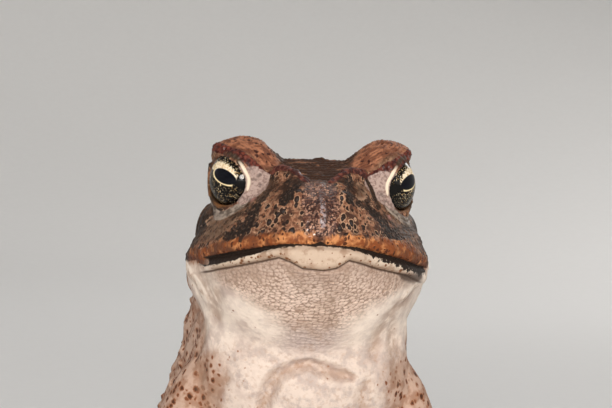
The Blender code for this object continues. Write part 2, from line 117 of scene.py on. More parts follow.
# Lines on the head as x, f, z and radius
BROW_MARGINS = (
    (
        (-19.7, 9.4, 24, 1), (-19.2, 10.5, 23.9, 0.95), (-17.8, 13.3, 23.2, 0.95),
        (-16.1, 15.3, 22.2, 0.9), (-14.6, 16.7, 20.9, 0.85), (-13, 17.4, 19.6, 0.8),
        (-11.4, 17.5, 18.5, 0.75), (-9.6, 18.2, 17.8, 0.55),
    ),
    (
        (19.4, 10.6, 23.4, 1), (19, 12, 23, 0.95), (17.5, 14.8, 21.9, 0.95),
        (16, 16.6, 20.7, 0.9), (14.1, 17.5, 19.6, 0.85), (12.5, 17.7, 18.6, 0.75),
        (10.6, 17.7, 17.8, 0.55),
    ),
)
BROW_PAD = ((10, 15, 20.8, 3), (12.6, 12.5, 22.8, 4.4), (14.4, 9, 23.6, 5.2), (15, 4, 23, 5))
CANTHAL_CREST = (
    (9.6, 18.2, 17.9, 0.6), (7.9, 19.4, 19, 0.75), (6, 21.2, 19, 0.7),
    (4.4, 22.8, 18.2, 0.7), (2.7, 24.8, 16.5, 0.7),
)
SNOUT_RIDGE = ((0.1, 25, 15.6, 0.8), (0.2, 28.5, 14.8, 0.7), (0.3, 32.2, 11.5, 0.6), (0.3, 34, 7.6, 0.6))
TEAR_BUMPS = ((-12.4, 19.7, 12.6, 0.65), (14.3, 20.7, 9.8, 0.5))
NOSTRIL = ((4.2, 27.6, 14.6, 0.5), (5, 27.4, 14.9, 0.35))
JAW_LOBES = (
    ((-24.6, 4.4, -1.6, 1.5), (-24.5, 5.6, -2.4, 1.8), (-23.6, 7.7, -3.8, 2), (-21.6, 9, -6.8, 2.2)),
    ((24.4, 3, 0.2, 1.4), (24.3, 6, -1.4, 1.7), (22.2, 13.2, -3.6, 1.5), (19.4, 16.7, -5.6, 1.6)),
)

# Marks drawn on the front of the face and neck as x, z and radius
FACE_MARKS = {
    "charcoal": (
        ((-3.3, 16.8, 0.6), (-4.5, 16.1, 1.1), (-6, 15.2, 1.3), (-6, 13.8, 1), (-7, 12.4, 0.9)),
        ((3.8, 17.4, 0.7), (5.2, 17, 1.1), (6.2, 15.4, 1.1), (5.7, 13.2, 0.9)),
        ((7.4, 12.4, 0.5), (8.8, 12.6, 0.7), (10.2, 13.2, 0.5)),
        ((-8.8, 17.2, 0.4), (-9.2, 15.2, 0.5), (-10.3, 13.4, 0.6), (-11.3, 12.2, 0.6)),
        ((10, 17.3, 0.4), (11, 15.4, 0.45), (11.7, 13.4, 0.5), (12.2, 11.9, 0.6)),
        ((-11.5, 11.4, 0.7), (-12.8, 9.4, 1), (-13.6, 7.4, 1), (-15.6, 6, 0.9), (-17.4, 4.8, 0.7)),
        ((9.3, 12.6, 0.5), (10, 11.5, 0.7), (12.1, 9.8, 0.9), (13.4, 8.2, 0.9)),
        ((13.2, 7.4, 0.9), (15, 6.8, 1.2), (17.2, 7, 1.5), (19.2, 7.8, 1.4)),
        ((-15.2, 8, 0.5), (-14.8, 6.3, 0.6), (-14.9, 4.4, 0.4)),
        ((-17.8, 12.2, 0.7), (-19, 10.4, 1), (-20.6, 8.6, 0.8)),
    ),
    "tan": (
        ((-20, 7.6, 1), (-18.4, 8.4, 1.2), (-16.6, 8.6, 0.9)),
        ((-20.6, 5.2, 0.8), (-18.8, 6.1, 0.9)),
        ((19.4, 9.2, 0.9), (20.3, 10.4, 1.1)),
        ((8.4, 15.7, 0.9), (8.6, 14.4, 1.3)),
    ),
    # Folds of neck and chest: brown stains with painted shade in their creases
    "fold_stain_and_shade": (
        ((-22.6, -1.2, 0.6), (-21.5, -4, 0.8), (-19.8, -7.5, 0.8)),
        ((21.5, -3.6, 0.5), (19.3, -6.8, 0.8), (17.2, -8.2, 0.9)),
        ((-18.9, -5.8, 0.6), (-18.9, -8.4, 0.9), (-18.4, -11.4, 0.7)),
        ((-21.2, -12.8, 0.7), (-21.5, -17.6, 0.9), (-21.2, -22.4, 0.8), (-20, -27.2, 0.9)),
        ((17, -8, 0.6), (15, -11.6, 0.9), (13.6, -15.4, 0.9), (13.2, -18, 0.7)),
        ((16.6, -10.4, 0.6), (17.8, -16.4, 0.9), (18.8, -22.4, 0.9)),
        ((-16, -23.4, 0.6), (-18.2, -26.6, 0.8), (-19, -29.6, 0.8)),
        ((12.2, -23.6, 0.6), (11, -26.6, 0.8), (12.6, -30, 0.7)),
    ),
    "chest": (
        ((0.3, -19.8, 0.7), (-3.6, -21, 0.9), (-6.4, -22.8, 1), (-8, -26.4, 1.1), (-8.8, -30, 0.9)),
        ((0.3, -19.8, 0.7), (3.1, -20.8, 0.9), (6.6, -21.8, 0.9), (9, -22.4, 0.5)),
    ),
    "lip_end": (((-22.9, 1.6, 0.9), (-22.3, 0.3, 0.9), (-20.9, -0.2, 0.5)),),
    # Painted shade at one corner of the jaw, below the lip
    "jaw_corner_shade": (((17.6, -1.6, 0.6), (19.8, -1.9, 0.9), (21.6, -1.9, 0.8)),),
}
# The folds of neck and chest, brown stains with painted shade in their creases, are drawn wider and
# softer than the rest
FOLD_WIDTHS = {"fold_stain_and_shade": 1.5, "chest": 1.2}

# Heights of the mouth's colours over x: the band's two edges, the crease, the orange lip
BAND_TOP = ((-24, 0.4), (-9, 0.35), (-4, 0.25), (-1.2, 0.3), (0, 0.8), (1.2, 0.3), (4, 0.15), (24, 0.15))
BAND_LOW = (
    (-24, -0.9), (-20.2, -1.6), (-16.6, -1.5), (-12.9, -1), (-9, -0.4), (-4, -0.2), (4, -0.2),
    (6.5, -0.5), (9.8, -0.9), (14, -1.35), (18.7, -1.7), (21.4, -1.8), (24, -1),
)
CREASE = (
    (-23, -2.8), (-19, -1.6), (-13.6, -0.2), (-7.8, 1.4), (-5.4, 0.6), (-3.3, -0.5), (0.9, -0.8),
    (3.6, -0.2), (5.8, 1.3), (8, 0.8), (12, -0.3), (18.3, -1.5), (22, -2.8),
)
ORANGE_TOP = (
    (-23.5, 1.9), (-18.4, 3.2), (-13, 3.2), (-5.8, 2.8), (-1.5, 2.3), (0.3, 1), (2, 2),
    (3.3, 2.3), (11.8, 2.9), (17.9, 4), (22.4, 1.7),
)

# Widths over z: the bare skin before the eye, the snout, and the throat's pebbles
BARE_WIDTH = ((9, 0.6), (12, 2), (14, 3.2), (16, 4.4), (17.4, 4.2), (18.6, 2.4))
SNOUT_WIDTH = ((3, 2.2), (8, 3.4), (12, 4.4), (16, 3.2), (18, 2))
THROAT_WIDTH = ((-20, 1), (-17, 4), (-14, 5.4), (-10, 7.8), (-6, 13.5), (-3.5, 19), (2, 22))

# Colours
CREAM = (90, 78, 68)
IVORY = (66, 54, 43)
TAN = (40, 20.5, 12)
SAND = (50, 31, 20)
ORANGE = (24, 6.8, 2.1)
BROWN = (12, 6.2, 3.4)
UMBER = (4.5, 2.5, 1.5)
CHARCOAL = (1.6, 1.1, 0.9)
LAVENDER = (55, 44, 40)

# Stage and camera in metres and degrees, but the target and the sensor in millimetres
FLOOR_PROFILE = ((0.0, 0.0), (0.4, 0.0), (1.3, 0.0), (1.7, 0.05), (2.1, 0.25), (2.4, 0.7), (2.5, 1.6))
FLOOR_SIDES = 64
LIT_POINT = Vector((0, 0, 0.05))
CAMERA_TARGET = (-0.35, 0.0, 12.0)
CAMERA_YAW = -4.6
CAMERA_ROLL = 2.0
CAMERA_DISTANCE = 0.45
FRAME_WIDTH = 0.126
SENSOR_WIDTH = 36.0


# Places


def at(x, f, z):
    """A point in metres from its x, f and z in millimetres."""
    return Vector((x, MIDDLE_F - f, z + MOUTH_CORNER_Z)) * MM


def to_values(metres):
    """Rows of x, f and z in millimetres from rows of points in metres."""
    rows = metres * 1000.0
    return np.stack([rows[:, 0], MIDDLE_F - rows[:, 1], rows[:, 2] - MOUTH_CORNER_Z], axis=1)


def to_metres(values):
    x, f, z = values.T
    return np.stack([x, MIDDLE_F - f, z + MOUTH_CORNER_Z], axis=1) * MM


def eye_centre(sign):
    x, f, z = EYE_CENTRE
    return sign * x, f, z


def spline(t, p, q, r, s):
    bend = (2 * p - 5 * q + 4 * r - s) * t**2 + (3 * q - p - 3 * r + s) * t**3
    return 0.5 * (2 * q + (r - p) * t + bend)


def smooth_path(points, steps, closed=False):
    """Points on the Catmull-Rom curve through the given tuples."""
    count = len(points)

    def pick(i):
        return points[i % count] if closed else points[min(max(i, 0), count - 1)]

    path = []
    for i in range(count if closed else count - 1):
        spans = list(zip(pick(i - 1), pick(i), pick(i + 1), pick(i + 2)))
        for step in range(steps):
            path.append(tuple(spline(step / steps, *span) for span in spans))
    return path if closed else path + [tuple(points[-1])]


def lid_edge(sign, turn=0.0):
    """The edge of the eye's opening as directions from the middle of the eye."""
    ways = []
    for azimuth, elevation in smooth_path(EYE_OPENING, 6, closed=True):
        if turn > 0.0:
            elevation += LID_LIFT * rise(10.0, 35.0, elevation)
        a, e = math.radians(azimuth + sign * turn), math.radians(elevation)
        ways.append((sign * math.sin(a) * math.cos(e), math.cos(a) * math.cos(e), math.sin(e)))
    return np.array(ways)


def height_along(profile, value):
    line = np.array(profile, float)
    return np.interp(value, line[:, 0], line[:, 1])


# Fields over many points


def rise(low, high, value):
    """0 below low, 1 above high and a smooth step between."""
    t = np.clip((value - low) / (high - low), 0.0, 1.0)
    return t * t * (3.0 - 2.0 * t)


def bell(distance, radius):
    return np.exp(-((distance / radius) ** 2))


def wave(value, length, shift=0.0):
    return np.sin(value / length * 2 * math.pi + shift)


def chance(cells, seed):
    """A number from 0 to 1 for each row of whole numbers."""
    mixed = cells.astype(np.int64) @ np.array([73856093, 19349663, 83492791])
    mixed = (mixed ^ (seed * 2654435761)) & 0xFFFFFFFF
    for shift, factor in ((16, 0x45D9F3B), (13, 0x2C1B3C6D), (16, 0x297A2D39)):
        mixed = ((mixed ^ (mixed >> shift)) * factor) & 0xFFFFFFFF
    return (mixed ^ (mixed >> 16)) / 0xFFFFFFFF


def cloud(points, size, seed=0, octaves=2):
    """Smooth noise from -1 to 1 whose lumps are about size across."""
    total = np.zeros(len(points))
    for octave in range(octaves):
        grid = points / size * 2**octave
        low = np.floor(grid)
        t = rise(0.0, 1.0, grid - low)
        value = np.zeros(len(points))
        for corner in np.ndindex(2, 2, 2):
            share = np.prod(np.where(np.array(corner), t, 1.0 - t), axis=1)
            value += share * chance(low + corner, seed + octave)
        total += (value * 2.0 - 1.0) / 2**octave
    return total / (2.0 - 0.5 ** (octaves - 1))


def pebbles(points, size, seed=0):
    """Rounded grains of a size: their height from 0 in the gaps to 1 on top."""
    grid = points / size
    low = np.floor(grid)
    nearest = np.full(len(points), 9.0)
    second = np.full(len(points), 9.0)
    for step in np.ndindex(3, 3, 3):
        cell = low + np.array(step) - 1
        centre = cell + 0.5
        for axis in range(3):
            centre[:, axis] += (chance(cell, seed + axis) - 0.5) * 0.8
        distance = np.linalg.norm(grid - centre, axis=1)
        second = np.minimum(second, np.maximum(distance, nearest))
        nearest = np.minimum(nearest, distance)
    return rise(0.0, 0.45, second - nearest)


def line_distance(points, line):
    """Distance from each point to a line of points, and how far along the line it lies."""
    best = np.full(len(points), 1e9)
    along = np.zeros(len(points))
    for i in range(len(line) - 1):
        span = line[i + 1] - line[i]
        t = np.clip((points - line[i]) @ span / max(span @ span, 1e-12), 0.0, 1.0)
        distance = np.linalg.norm(points - line[i] - t[:, None] * span, axis=1)
        closer = distance < best
        best = np.where(closer, distance, best)
        along = np.where(closer, i + t, along)
    return best, along


# Meshes


def add_object(name, mesh):
    made = bpy.data.objects.new(name, mesh)
    bpy.context.scene.collection.objects.link(made)
    return made


def to_mesh(name, bm):
    mesh = bpy.data.meshes.new(name)
    bm.to_mesh(mesh)
    bm.free()
    return mesh


def from_bmesh(name, bm):
    return add_object(name, to_mesh(name, bm))


def apply_modifiers(obj):
    graph = bpy.context.evaluated_depsgraph_get()
    mesh = bpy.data.meshes.new_from_object(obj.evaluated_get(graph), depsgraph=graph)
    obj.modifiers.clear()
    old = obj.data
    obj.data = mesh
    bpy.data.meshes.remove(old)
    return obj


def rows_of(items, field):
    """The three values that each item holds, as rows."""
    rows = np.empty(len(items) * 3, np.float32)
    items.foreach_get(field, rows)
    return rows.reshape(-1, 3).astype(float)


def values_of(obj):
    return to_values(rows_of(obj.data.vertices, "co"))


def keep_values(obj, name, values):
    """Stores a value for each point, which the materials read."""
    layer = obj.data.attributes.new(name, "FLOAT", "POINT")
    layer.data.foreach_set("value", values)


def ring_tube(bm, centres, outward, radius, sides=10):
    """Adds a closed tube round a loop of points; outward leads from its middle."""
    count = len(centres)
    turns = [2 * math.pi * k / sides for k in range(sides)]
    rings = []
    for i, centre in enumerate(centres):
        ahead = (centres[(i + 1) % count] - centres[i - 1]).normalized()
        out = (outward[i] - ahead * outward[i].dot(ahead)).normalized()
        side = ahead.cross(out)
        ways = [out * math.cos(a) + side * math.sin(a) for a in turns]
        rings.append([bm.verts.new(centre + way * radius) for way in ways])
    for i, ring in enumerate(rings):
        after = rings[(i + 1) % count]
        for k in range(sides):
            j = (k + 1) % sides
            bm.faces.new((ring[k], ring[j], after[j], after[k]))


# Skin


def flesh_names(frame):
    return [name for name in frame["nodes"] if not name.startswith("eye")]


def pushed_copy(node):
    """The node's mesh with shared corners, moved out so that it meets its neighbours."""
    bm = bmesh.new()
    bm.from_mesh(node.data)
    bmesh.ops.remove_doubles(bm, verts=bm.verts, dist=0.002 * MM)
    bmesh.ops.recalc_face_normals(bm, faces=bm.faces)
    bm.normal_update()
    normals = [v.normal.copy() for v in bm.verts]
    for vert, normal in zip(bm.verts, normals):
        vert.co += normal * SKIN_PUSH * MM
    return to_mesh("pushed", bm)


def fused_skin(frame):
    """One closed skin of even faces over all the flesh, with a roll along the lids."""
    bm = bmesh.new()
    for name in flesh_names(frame):
        mesh = pushed_copy(frame["nodes"][name])
        bm.from_mesh(mesh)
        bpy.data.meshes.remove(mesh)
    for sign in (1, -1):
        centre = at(*eye_centre(sign))
        ways = [Vector((wx, -wf, wz)) for wx, wf, wz in lid_edge(sign)]
        edge = [centre + way * LID_EDGE * MM for way in ways]
        ring_tube(bm, edge, ways, (LID_RADIUS + SKIN_PUSH) * MM)
    bmesh.ops.recalc_face_normals(bm, faces=bm.faces)
    skin = from_bmesh("skin", bm)
    remesh = skin.modifiers.new("remesh", "REMESH")
    remesh.mode = "VOXEL"
    remesh.voxel_size = VOXEL * MM
    pull = skin.modifiers.new("pull", "DISPLACE")
    pull.mid_level = 0.0
    pull.strength = -SKIN_PUSH * MM
    return apply_modifiers(skin)


def nearest_nodes(frame, points):
    """For each point in metres the name of the flesh node whose surface is nearest."""
    names = flesh_names(frame)
    corners, faces, owners = [], [], []
    for index, name in enumerate(names):
        mesh = frame["nodes"][name].data
        first = len(corners)
        corners += [v.co.copy() for v in mesh.vertices]
        faces += [[first + i for i in face.vertices] for face in mesh.polygons]
        owners += [index] * len(mesh.polygons)
    tree = BVHTree.FromPolygons(corners, faces)
    found = np.array([owners[tree.find_nearest(Vector(p))[2]] for p in points])
    return np.array(names)[found]


def soften(obj, weights, rounds):
    """Smooths the object, each point by its weight."""
    group = obj.vertex_groups.new(name="soft")
    levels = np.round(weights, 2)
    for level in np.unique(levels):
        if level > 0:
            group.add(np.nonzero(levels == level)[0].tolist(), float(level), "REPLACE")
    smooth = obj.modifiers.new("smooth", "SMOOTH")
    smooth.factor = 0.5
    smooth.iterations = rounds
    smooth.vertex_group = "soft"
    apply_modifiers(obj)
    obj.vertex_groups.clear()


def in_front(values):
    """Whether each point lies on the face, throat or chest, or on the side of the head."""
    f, z = values[:, 1:].T
    return ((z > -34.0) & (f > -6.0)) | ((z > -6.0) & (f > -14.0))


def refine_front(obj):
    """Splits the faces of the head, throat and chest, where the finest detail lies."""
    front = in_front(values_of(obj))
    bm = bmesh.new()
    bm.from_mesh(obj.data)
    bm.verts.ensure_lookup_table()
    edges = [e for e in bm.edges if front[e.verts[0].index] and front[e.verts[1].index]]
    bmesh.ops.subdivide_edges(bm, edges=edges, cuts=1, use_grid_fill=True)
    bm.to_mesh(obj.data)
    bm.free()
    f, z = values_of(obj)[:, 1:].T
    soften(obj, rise(-35.0, -33.0, z) * rise(-15.0, -13.0, f) * 0.9, 3)


class Skin:
    """The skin's points as arrays that brushes raise, lower and mark."""

    def __init__(self, obj, frame):
        self.obj = obj
        self.marks = {}
        self.read()
        self.node = nearest_nodes(frame, rows_of(obj.data.vertices, "co"))
        self.head = self.near("head", "tympanum")
        self.jaw = self.near("lower_jaw")

    def read(self):
        """Takes places and normals from the mesh; x, f and z follow each change of place."""
        self.at = values_of(self.obj)
        self.x, self.f, self.z = self.at.T
        self.normal = rows_of(self.obj.data.vertex_normals, "vector") * (1, -1, 1)
        self.sideways, self.forward, self.upward = self.normal.T
        self.across = np.abs(self.x)
        self.mirrored = np.stack([self.across, self.f, self.z], axis=1)

    def near(self, *starts):
        return np.array([n.startswith(starts) for n in self.node]).astype(float)

    def write(self):
        mesh = self.obj.data
        mesh.vertices.foreach_set("co", to_metres(self.at).astype(np.float32).ravel())
        mesh.update()
        self.read()

    def raise_by(self, height):
        self.at += self.normal * height[:, None]

    def mark(self, name, amount):
        """Keeps the larger of what is marked and the amount, from 0 to 1."""
        old = self.marks.get(name, np.zeros(len(self.at)))
        self.marks[name] = np.maximum(old, np.clip(amount, 0.0, 1.0))

    def blurred(self, values, rounds):
        """The values evened out along the skin."""
        ends = np.empty(len(self.obj.data.edges) * 2, np.int32)
        self.obj.data.edges.foreach_get("vertices", ends)
        a, b = ends.reshape(-1, 2).T
        count = np.bincount(ends, minlength=len(values))
        for _ in range(rounds):
            total = np.bincount(a, values[b], len(values)) + np.bincount(b, values[a], len(values))
            values = (values + total / count) / 2.0
        return values

    def field(self, mask, maker, *settings, **named):
        """The maker's values where the mask is above 0, and 0 elsewhere."""
        values = np.zeros(len(self.at))
        chosen = mask > 0.0
        values[chosen] = maker(self.at[chosen], *settings, **named)
        return values

    def stroke(self, stations, both=False, soft=0.4, grow=1.0):
        """How much each point lies within a line: stations of x, f, z and radius, or of x, z
        and radius for a line drawn on the front."""
        points = self.mirrored if both else self.at
        line = np.array(smooth_path(stations, 4))
        facing = np.ones(len(points))
        if line.shape[1] == 3:
            points = points[:, [0, 2]]
            facing = rise(-0.1, 0.2, self.forward) * rise(-3.0, 1.0, self.f)
        place, radii = line[:, :-1], line[:, -1]
        reach = radii.max() * (1.0 + soft) * grow + 0.5
        low, high = place.min(axis=0) - reach, place.max(axis=0) + reach
        inside = np.nonzero(np.all((points > low) & (points < high), axis=1))[0]
        amount = np.zeros(len(points))
        distance, along = line_distance(points[inside], place)
        radius = np.interp(along, np.arange(len(line)), radii) * grow
        amount[inside] = 1.0 - rise(radius * (1.0 - soft), radius * (1.0 + soft), distance)
        return amount * facing

    def from_eye(self, sign):
        """Where each point lies from the middle of an eye, and how far."""
        away = self.at - eye_centre(sign)
        return away, np.linalg.norm(away, axis=1)


def scatter(skin, weight, count, sizes, seed, spacing=1.1):
    """Seeded places for warts or pores: point numbers and radii, none too close."""
    rng = np.random.default_rng(seed)
    picked = rng.choice(len(weight), size=count * 8, p=weight / weight.sum())
    radii = sizes[0] + (sizes[1] - sizes[0]) * rng.random(len(picked)) ** 2.2
    kept = np.empty((0, 4))
    places = []
    for index, radius in zip(picked, radii):
        point = skin.at[index]
        gaps = np.linalg.norm(kept[:, :3] - point, axis=1) - (kept[:, 3] + radius) * spacing
        if len(places) < count and not (gaps < 0).any():
            kept = np.vstack([kept, [*point, radius]])
            places.append((index, radius))
    return places


def spread(skin, tree, places, shape):
    """Adds shape(distance share, radius) round each place, as a height for each point."""
    height = np.zeros(len(skin.at))
    for index, radius in places:
        found = tree.find_range(skin.at[index], radius)
        near = np.array([row[1] for row in found])
        share = np.array([row[2] for row in found]) / radius
        height[near] = np.maximum(height[near], shape(share, radius))
    return height


def dome(share, radius):
    return radius * (1.0 - share**2) ** 1.5


def draw_marks(skin):
    """The patches and lines that the front of the face and neck shows."""
    for name, lines in FACE_MARKS.items():
        soft = 0.9 if name in FOLD_WIDTHS else 0.6
        for line in lines:
            skin.mark(name, skin.stroke(line, soft=soft, grow=FOLD_WIDTHS.get(name, 1.0)))


def turn_lids(skin):
    """Turns both openings a little to the toad's left and lifts the upper lids."""
    for sign in (1, -1):
        x, f, z = eye_centre(sign)
        away, reach = skin.from_eye(sign)
        level = np.linalg.norm(away[:, :2], axis=1)
        lift = math.radians(LID_LIFT) * rise(0.17, 0.57, away[:, 2] / reach) * rise(9.2, 7.8, reach)
        across = (level * np.cos(lift) - away[:, 2] * np.sin(lift)) / level
        skin.z[:] = z + away[:, 2] * np.cos(lift) + level * np.sin(lift)
        dx, df = away[:, 0] * across, away[:, 1] * across
        angle = math.radians(LID_TURN) * rise(12.0, 8.5, reach)
        skin.x[:] = x + np.cos(angle) * dx + np.sin(angle) * df
        skin.f[:] = f + np.cos(angle) * df - np.sin(angle) * dx


def shape_eyes(skin):
    """Lid rolls, the folds above and below the eyes, and the tear bumps."""
    for sign in (1, -1):
        away, reach = skin.from_eye(sign)
        close = (reach < 12.5) & (skin.x * sign > 3.0)
        edge = lid_edge(sign, LID_TURN)
        edge = np.vstack([edge, edge[:1]]) * LID_EDGE
        distance = np.full(len(reach), 9.0)
        distance[close] = line_distance(away[close], edge)[0]
        side, up = away[:, 0] * sign / reach, away[:, 2] / reach
        ahead = rise(0.42, 0.2, side) * rise(0.62, 0.3, up) * rise(-0.8, -0.5, up)
        cream = ahead * (1.0 - rise(0.4, 0.55, distance))
        rim = np.maximum((1.0 - rise(0.42, 0.66, distance)) * (1.0 - ahead), cream)
        skin.mark("rim", rim)
        skin.mark("rim_cream", cream)
        skin.mark("rim_dark", rim * rise(0.55, 0.85, side))
        outside = rise(0.7, 1.2, distance) * close
        low = outside * rise(11.0, 9.2, reach) * rise(-0.28, -0.5, up) * rise(-0.2, 0.05, side)
        low *= rise(3.6, 2.6, distance)
        skin.mark("bag", low)
        skin.raise_by(low * (0.3 + 0.14 * np.cos((distance - 1.4) / 1.1 * 2 * math.pi)))
        width = height_along(BARE_WIDTH, skin.z)
        bare = rise(0.3, 0.6, distance) * rise(0.5, 0.2, side) * rise(1.3, 0.9, distance / width)
        skin.mark("bare", bare * rise(-0.7, -0.45, up) * rise(0.42, 0.2, up) * close)
        high = outside * rise(0.12, 0.35, up) * rise(3.4, 2.6, distance)
        folds = np.cos(distance / 0.75 * 2 * math.pi + cloud(skin.at, 3.0, seed=4) * 2.0)
        skin.raise_by(high * folds * 0.07)
        skin.mark("lid", high)
        skin.mark("wrinkle", high * (0.5 - 0.5 * folds))
    for bump in TEAR_BUMPS:
        amount = skin.stroke((bump, bump), soft=0.8)
        skin.raise_by(amount * 0.4)
        skin.mark("tear", amount)
    creases = wave(skin.z * 0.8 + skin.across * 0.6, 0.62)
    skin.raise_by(skin.marks["bare"] * creases * 0.035 - skin.marks["charcoal"] * skin.head * 0.12)


def settle_brows(skin):
    """Moves the height of the brow pads noseward, more so on the toad's right."""
    right = skin.x < 0
    where = skin.head * rise(18.5, 21.5, skin.z) * rise(-7.0, -1.0, skin.f)
    inner = np.where(right, 0.9 * bell(skin.x + 10.4, 2.6), 0.35 * bell(skin.x - 12.6, 2.6))
    outer = np.where(right, 1.15, 0.45) * rise(13.5, 18.5, skin.across)
    skin.z += where * (inner - outer)


def shape_brows(skin):
    """Wrinkled brow pads with a beaded margin, and the crests to the nostrils."""
    pad = skin.stroke(BROW_PAD, both=True, soft=0.25) * rise(0.0, 0.35, skin.upward + 0.3)
    skin.marks["lid"] *= 1.0 - pad
    warp = cloud(skin.at, 2.5, seed=3) * 2.6
    for line in BROW_MARGINS:
        side = skin.x * line[0][0] > 0
        distance, along = line_distance(skin.at, np.array(smooth_path(line, 4))[:, :3])
        margin = skin.stroke(line, soft=0.3)
        wrinkles = wave(distance, 0.8, warp) * rise(0.8, 1.6, distance) * side
        skin.raise_by(pad * wrinkles * 0.1)
        beads = 0.5 + 0.5 * np.cos(along * 2 * math.pi / 2.1 + cloud(skin.at, 1.4, seed=6) * 1.5)
        skin.raise_by(margin * (0.1 + 0.3 * beads))
        skin.mark("margin", margin)
        skin.mark("wrinkle", pad * side * (0.5 - 0.5 * wrinkles))
    skin.mark("brow", pad * (1.0 - skin.marks["lid"]))
    crest = skin.stroke(CANTHAL_CREST, both=True)
    skin.raise_by(crest * (0.4 + 0.2 * cloud(skin.at, 1.3, seed=7)))
    skin.mark("crest", skin.stroke(CANTHAL_CREST, both=True, soft=0.6, grow=1.25))


def shape_snout(skin):
    """Nostril pits, the ridge of the nose, and grains on snout and cheeks."""
    pit = skin.stroke(NOSTRIL, both=True, soft=0.5)
    skin.raise_by(pit * -1.0)
    skin.mark("pit", pit)
    ridge = skin.stroke(SNOUT_RIDGE, soft=0.8)
    skin.raise_by(ridge * (0.15 + 0.25 * cloud(skin.at, 1.1, seed=8)))
    skin.mark("ridge", ridge)
    middle = rise(1.15, 0.6, skin.across / height_along(SNOUT_WIDTH, skin.z))
    snout = middle * (rise(23.5, 26.0, skin.f) * skin.head) * rise(4.8, 7.0, skin.z)
    skin.mark("snout", snout)
    face = skin.head * rise(2.0, 8.0, skin.f)
    calm = 1.0 - np.clip(skin.marks["bare"] + skin.marks["rim"] + skin.marks["bag"], 0, 1)
    grain = skin.field(face, pebbles, 0.85, seed=5)
    fine = skin.field(snout, pebbles, 0.6, seed=9)
    skin.raise_by(face * calm * grain * 0.15 * (1.0 - snout) + snout * fine * 0.22)
    skin.mark("grain", np.where(snout > 0.4, fine, grain) * face)
    temple = bell(np.hypot(skin.x - 21.5, (skin.z - 7.5) * 1.2), 4.0)
    skin.raise_by(temple * face * 0.6)


def shape_forehead(skin):
    """Low wrinkles across the forehead between the brows."""
    mask = skin.head * rise(0.4, 0.75, skin.upward) * rise(10.5, 8.0, skin.across)
    mask *= rise(-4.0, 2.0, skin.f) * rise(27.0, 24.0, skin.f)
    mask *= 1.0 - skin.marks["brow"]
    bands = wave(skin.f, 1.5, cloud(skin.at * (0.5, 1.0, 1.0), 3.0, seed=11) * 4.5)
    skin.raise_by(mask * bands * 0.16)
    skin.mark("forehead", mask)
    skin.mark("wrinkle", mask * (0.5 - 0.5 * bands))


def shape_mouth(skin):
    """The line of the mouth, the lips, the crease below them and the lobes of the jaw."""
    x, f, z = skin.x, skin.f, skin.z
    above = z - height_along(MOUTH_LINE, f)
    lips = (skin.head + skin.jaw) * rise(8.0, 11.5, f) * (1.0 - skin.marks["lip_end"])
    skin.raise_by(bell(above + 0.1, 0.36) * lips * -0.8)
    ends = rise(22.0, 18.5, np.abs(x))
    roll = bell(above - 1.4, 0.9) + bell(above + 1.3, 0.8) * ends
    skin.raise_by(roll * lips * 0.3)
    skin.raise_by(bell(np.hypot(x - 0.1, above - 0.5), 0.6) * lips * -0.35)
    skin.marks["above"] = above
    skin.mark("lips", lips)
    for name, profile in (("band_top", BAND_TOP), ("band_low", BAND_LOW), ("orange_top", ORANGE_TOP)):
        skin.marks[name] = height_along(profile, x)
    skin.mark("orange", np.maximum(skin.head * rise(4.5, 7.5, f), skin.marks["lip_end"]))
    below = z - height_along(CREASE, x)
    front = skin.jaw * rise(5.0, 10.0, f) * rise(23.0, 21.0, np.abs(x))
    skin.marks["below"] = below
    skin.mark("jaw_front", front)
    ivory = rise(-0.25, 0.15, below) * rise(0.1, -0.3, above) * front * ends
    skin.raise_by(bell(below, 0.36) * front * ends * -0.6)
    skin.raise_by(ivory * bell(below - 1.2, 1.4) * (0.25 + 0.3 * bell(x - 0.5, 5.0)))
    skin.mark("ivory", ivory)
    seam = bell(np.abs(x + 0.1) - 0.35, 0.22) * ivory * rise(1.0, 2.5, z)
    skin.raise_by(seam * -0.12)
    for line in JAW_LOBES:
        lobe = skin.stroke(line, soft=0.7)
        skin.raise_by(lobe * 0.45)
        skin.mark("lobe", lobe)


def shape_throat(skin):
    """Pebbled throat, and the folds of neck and chest."""
    x, f, z = skin.x, skin.f, skin.z
    torso = skin.near("torso")
    wide = height_along(THROAT_WIDTH, z)
    edge = skin.field(skin.jaw + torso, cloud, 5.0, seed=31) * 2.4
    throat = rise(3.5, -2.5, np.abs(x) - wide + edge) * rise(8.0, 13.0, f) * rise(-19.5, -16.0, z)
    throat *= np.maximum(skin.jaw, torso)
    throat *= rise(0.2, -0.3, skin.marks["below"])
    grains = skin.field(throat, lambda p: pebbles(p * (0.85, 1.2, 1.2), 0.82, seed=33))
    skin.raise_by(throat * (grains - 0.5) * 0.2)
    skin.mark("throat", throat)
    skin.mark("pebble", grains)
    skin.raise_by(skin.marks["chest"] * -1.7 - skin.marks["fold_stain_and_shade"] * 0.4 * (1.0 - skin.head))
    lobe = bell(np.hypot(x - 0.5, (z + 26.0) * 0.8), 5.0) * rise(5.0, 9.0, f)
    skin.raise_by(lobe * 1.3)


def body_folds(skin):
    """Slow lumps of the flesh and slack folds on flanks and chest."""
    body = skin.near("torso", "upper_arm", "thigh", "shank", "forearm")
    skin.raise_by(body * skin.field(body, cloud, 13.0, seed=41) * 0.55)
    side = rise(0.45, 0.8, np.abs(skin.sideways)) * skin.near("torso")
    waves = wave(skin.f * 0.62 - skin.z * 0.78, 5.2, cloud(skin.at, 11.0, seed=42) * 3.0)
    skin.raise_by(side * waves * 0.28 * rise(14.0, -4.0, skin.f))


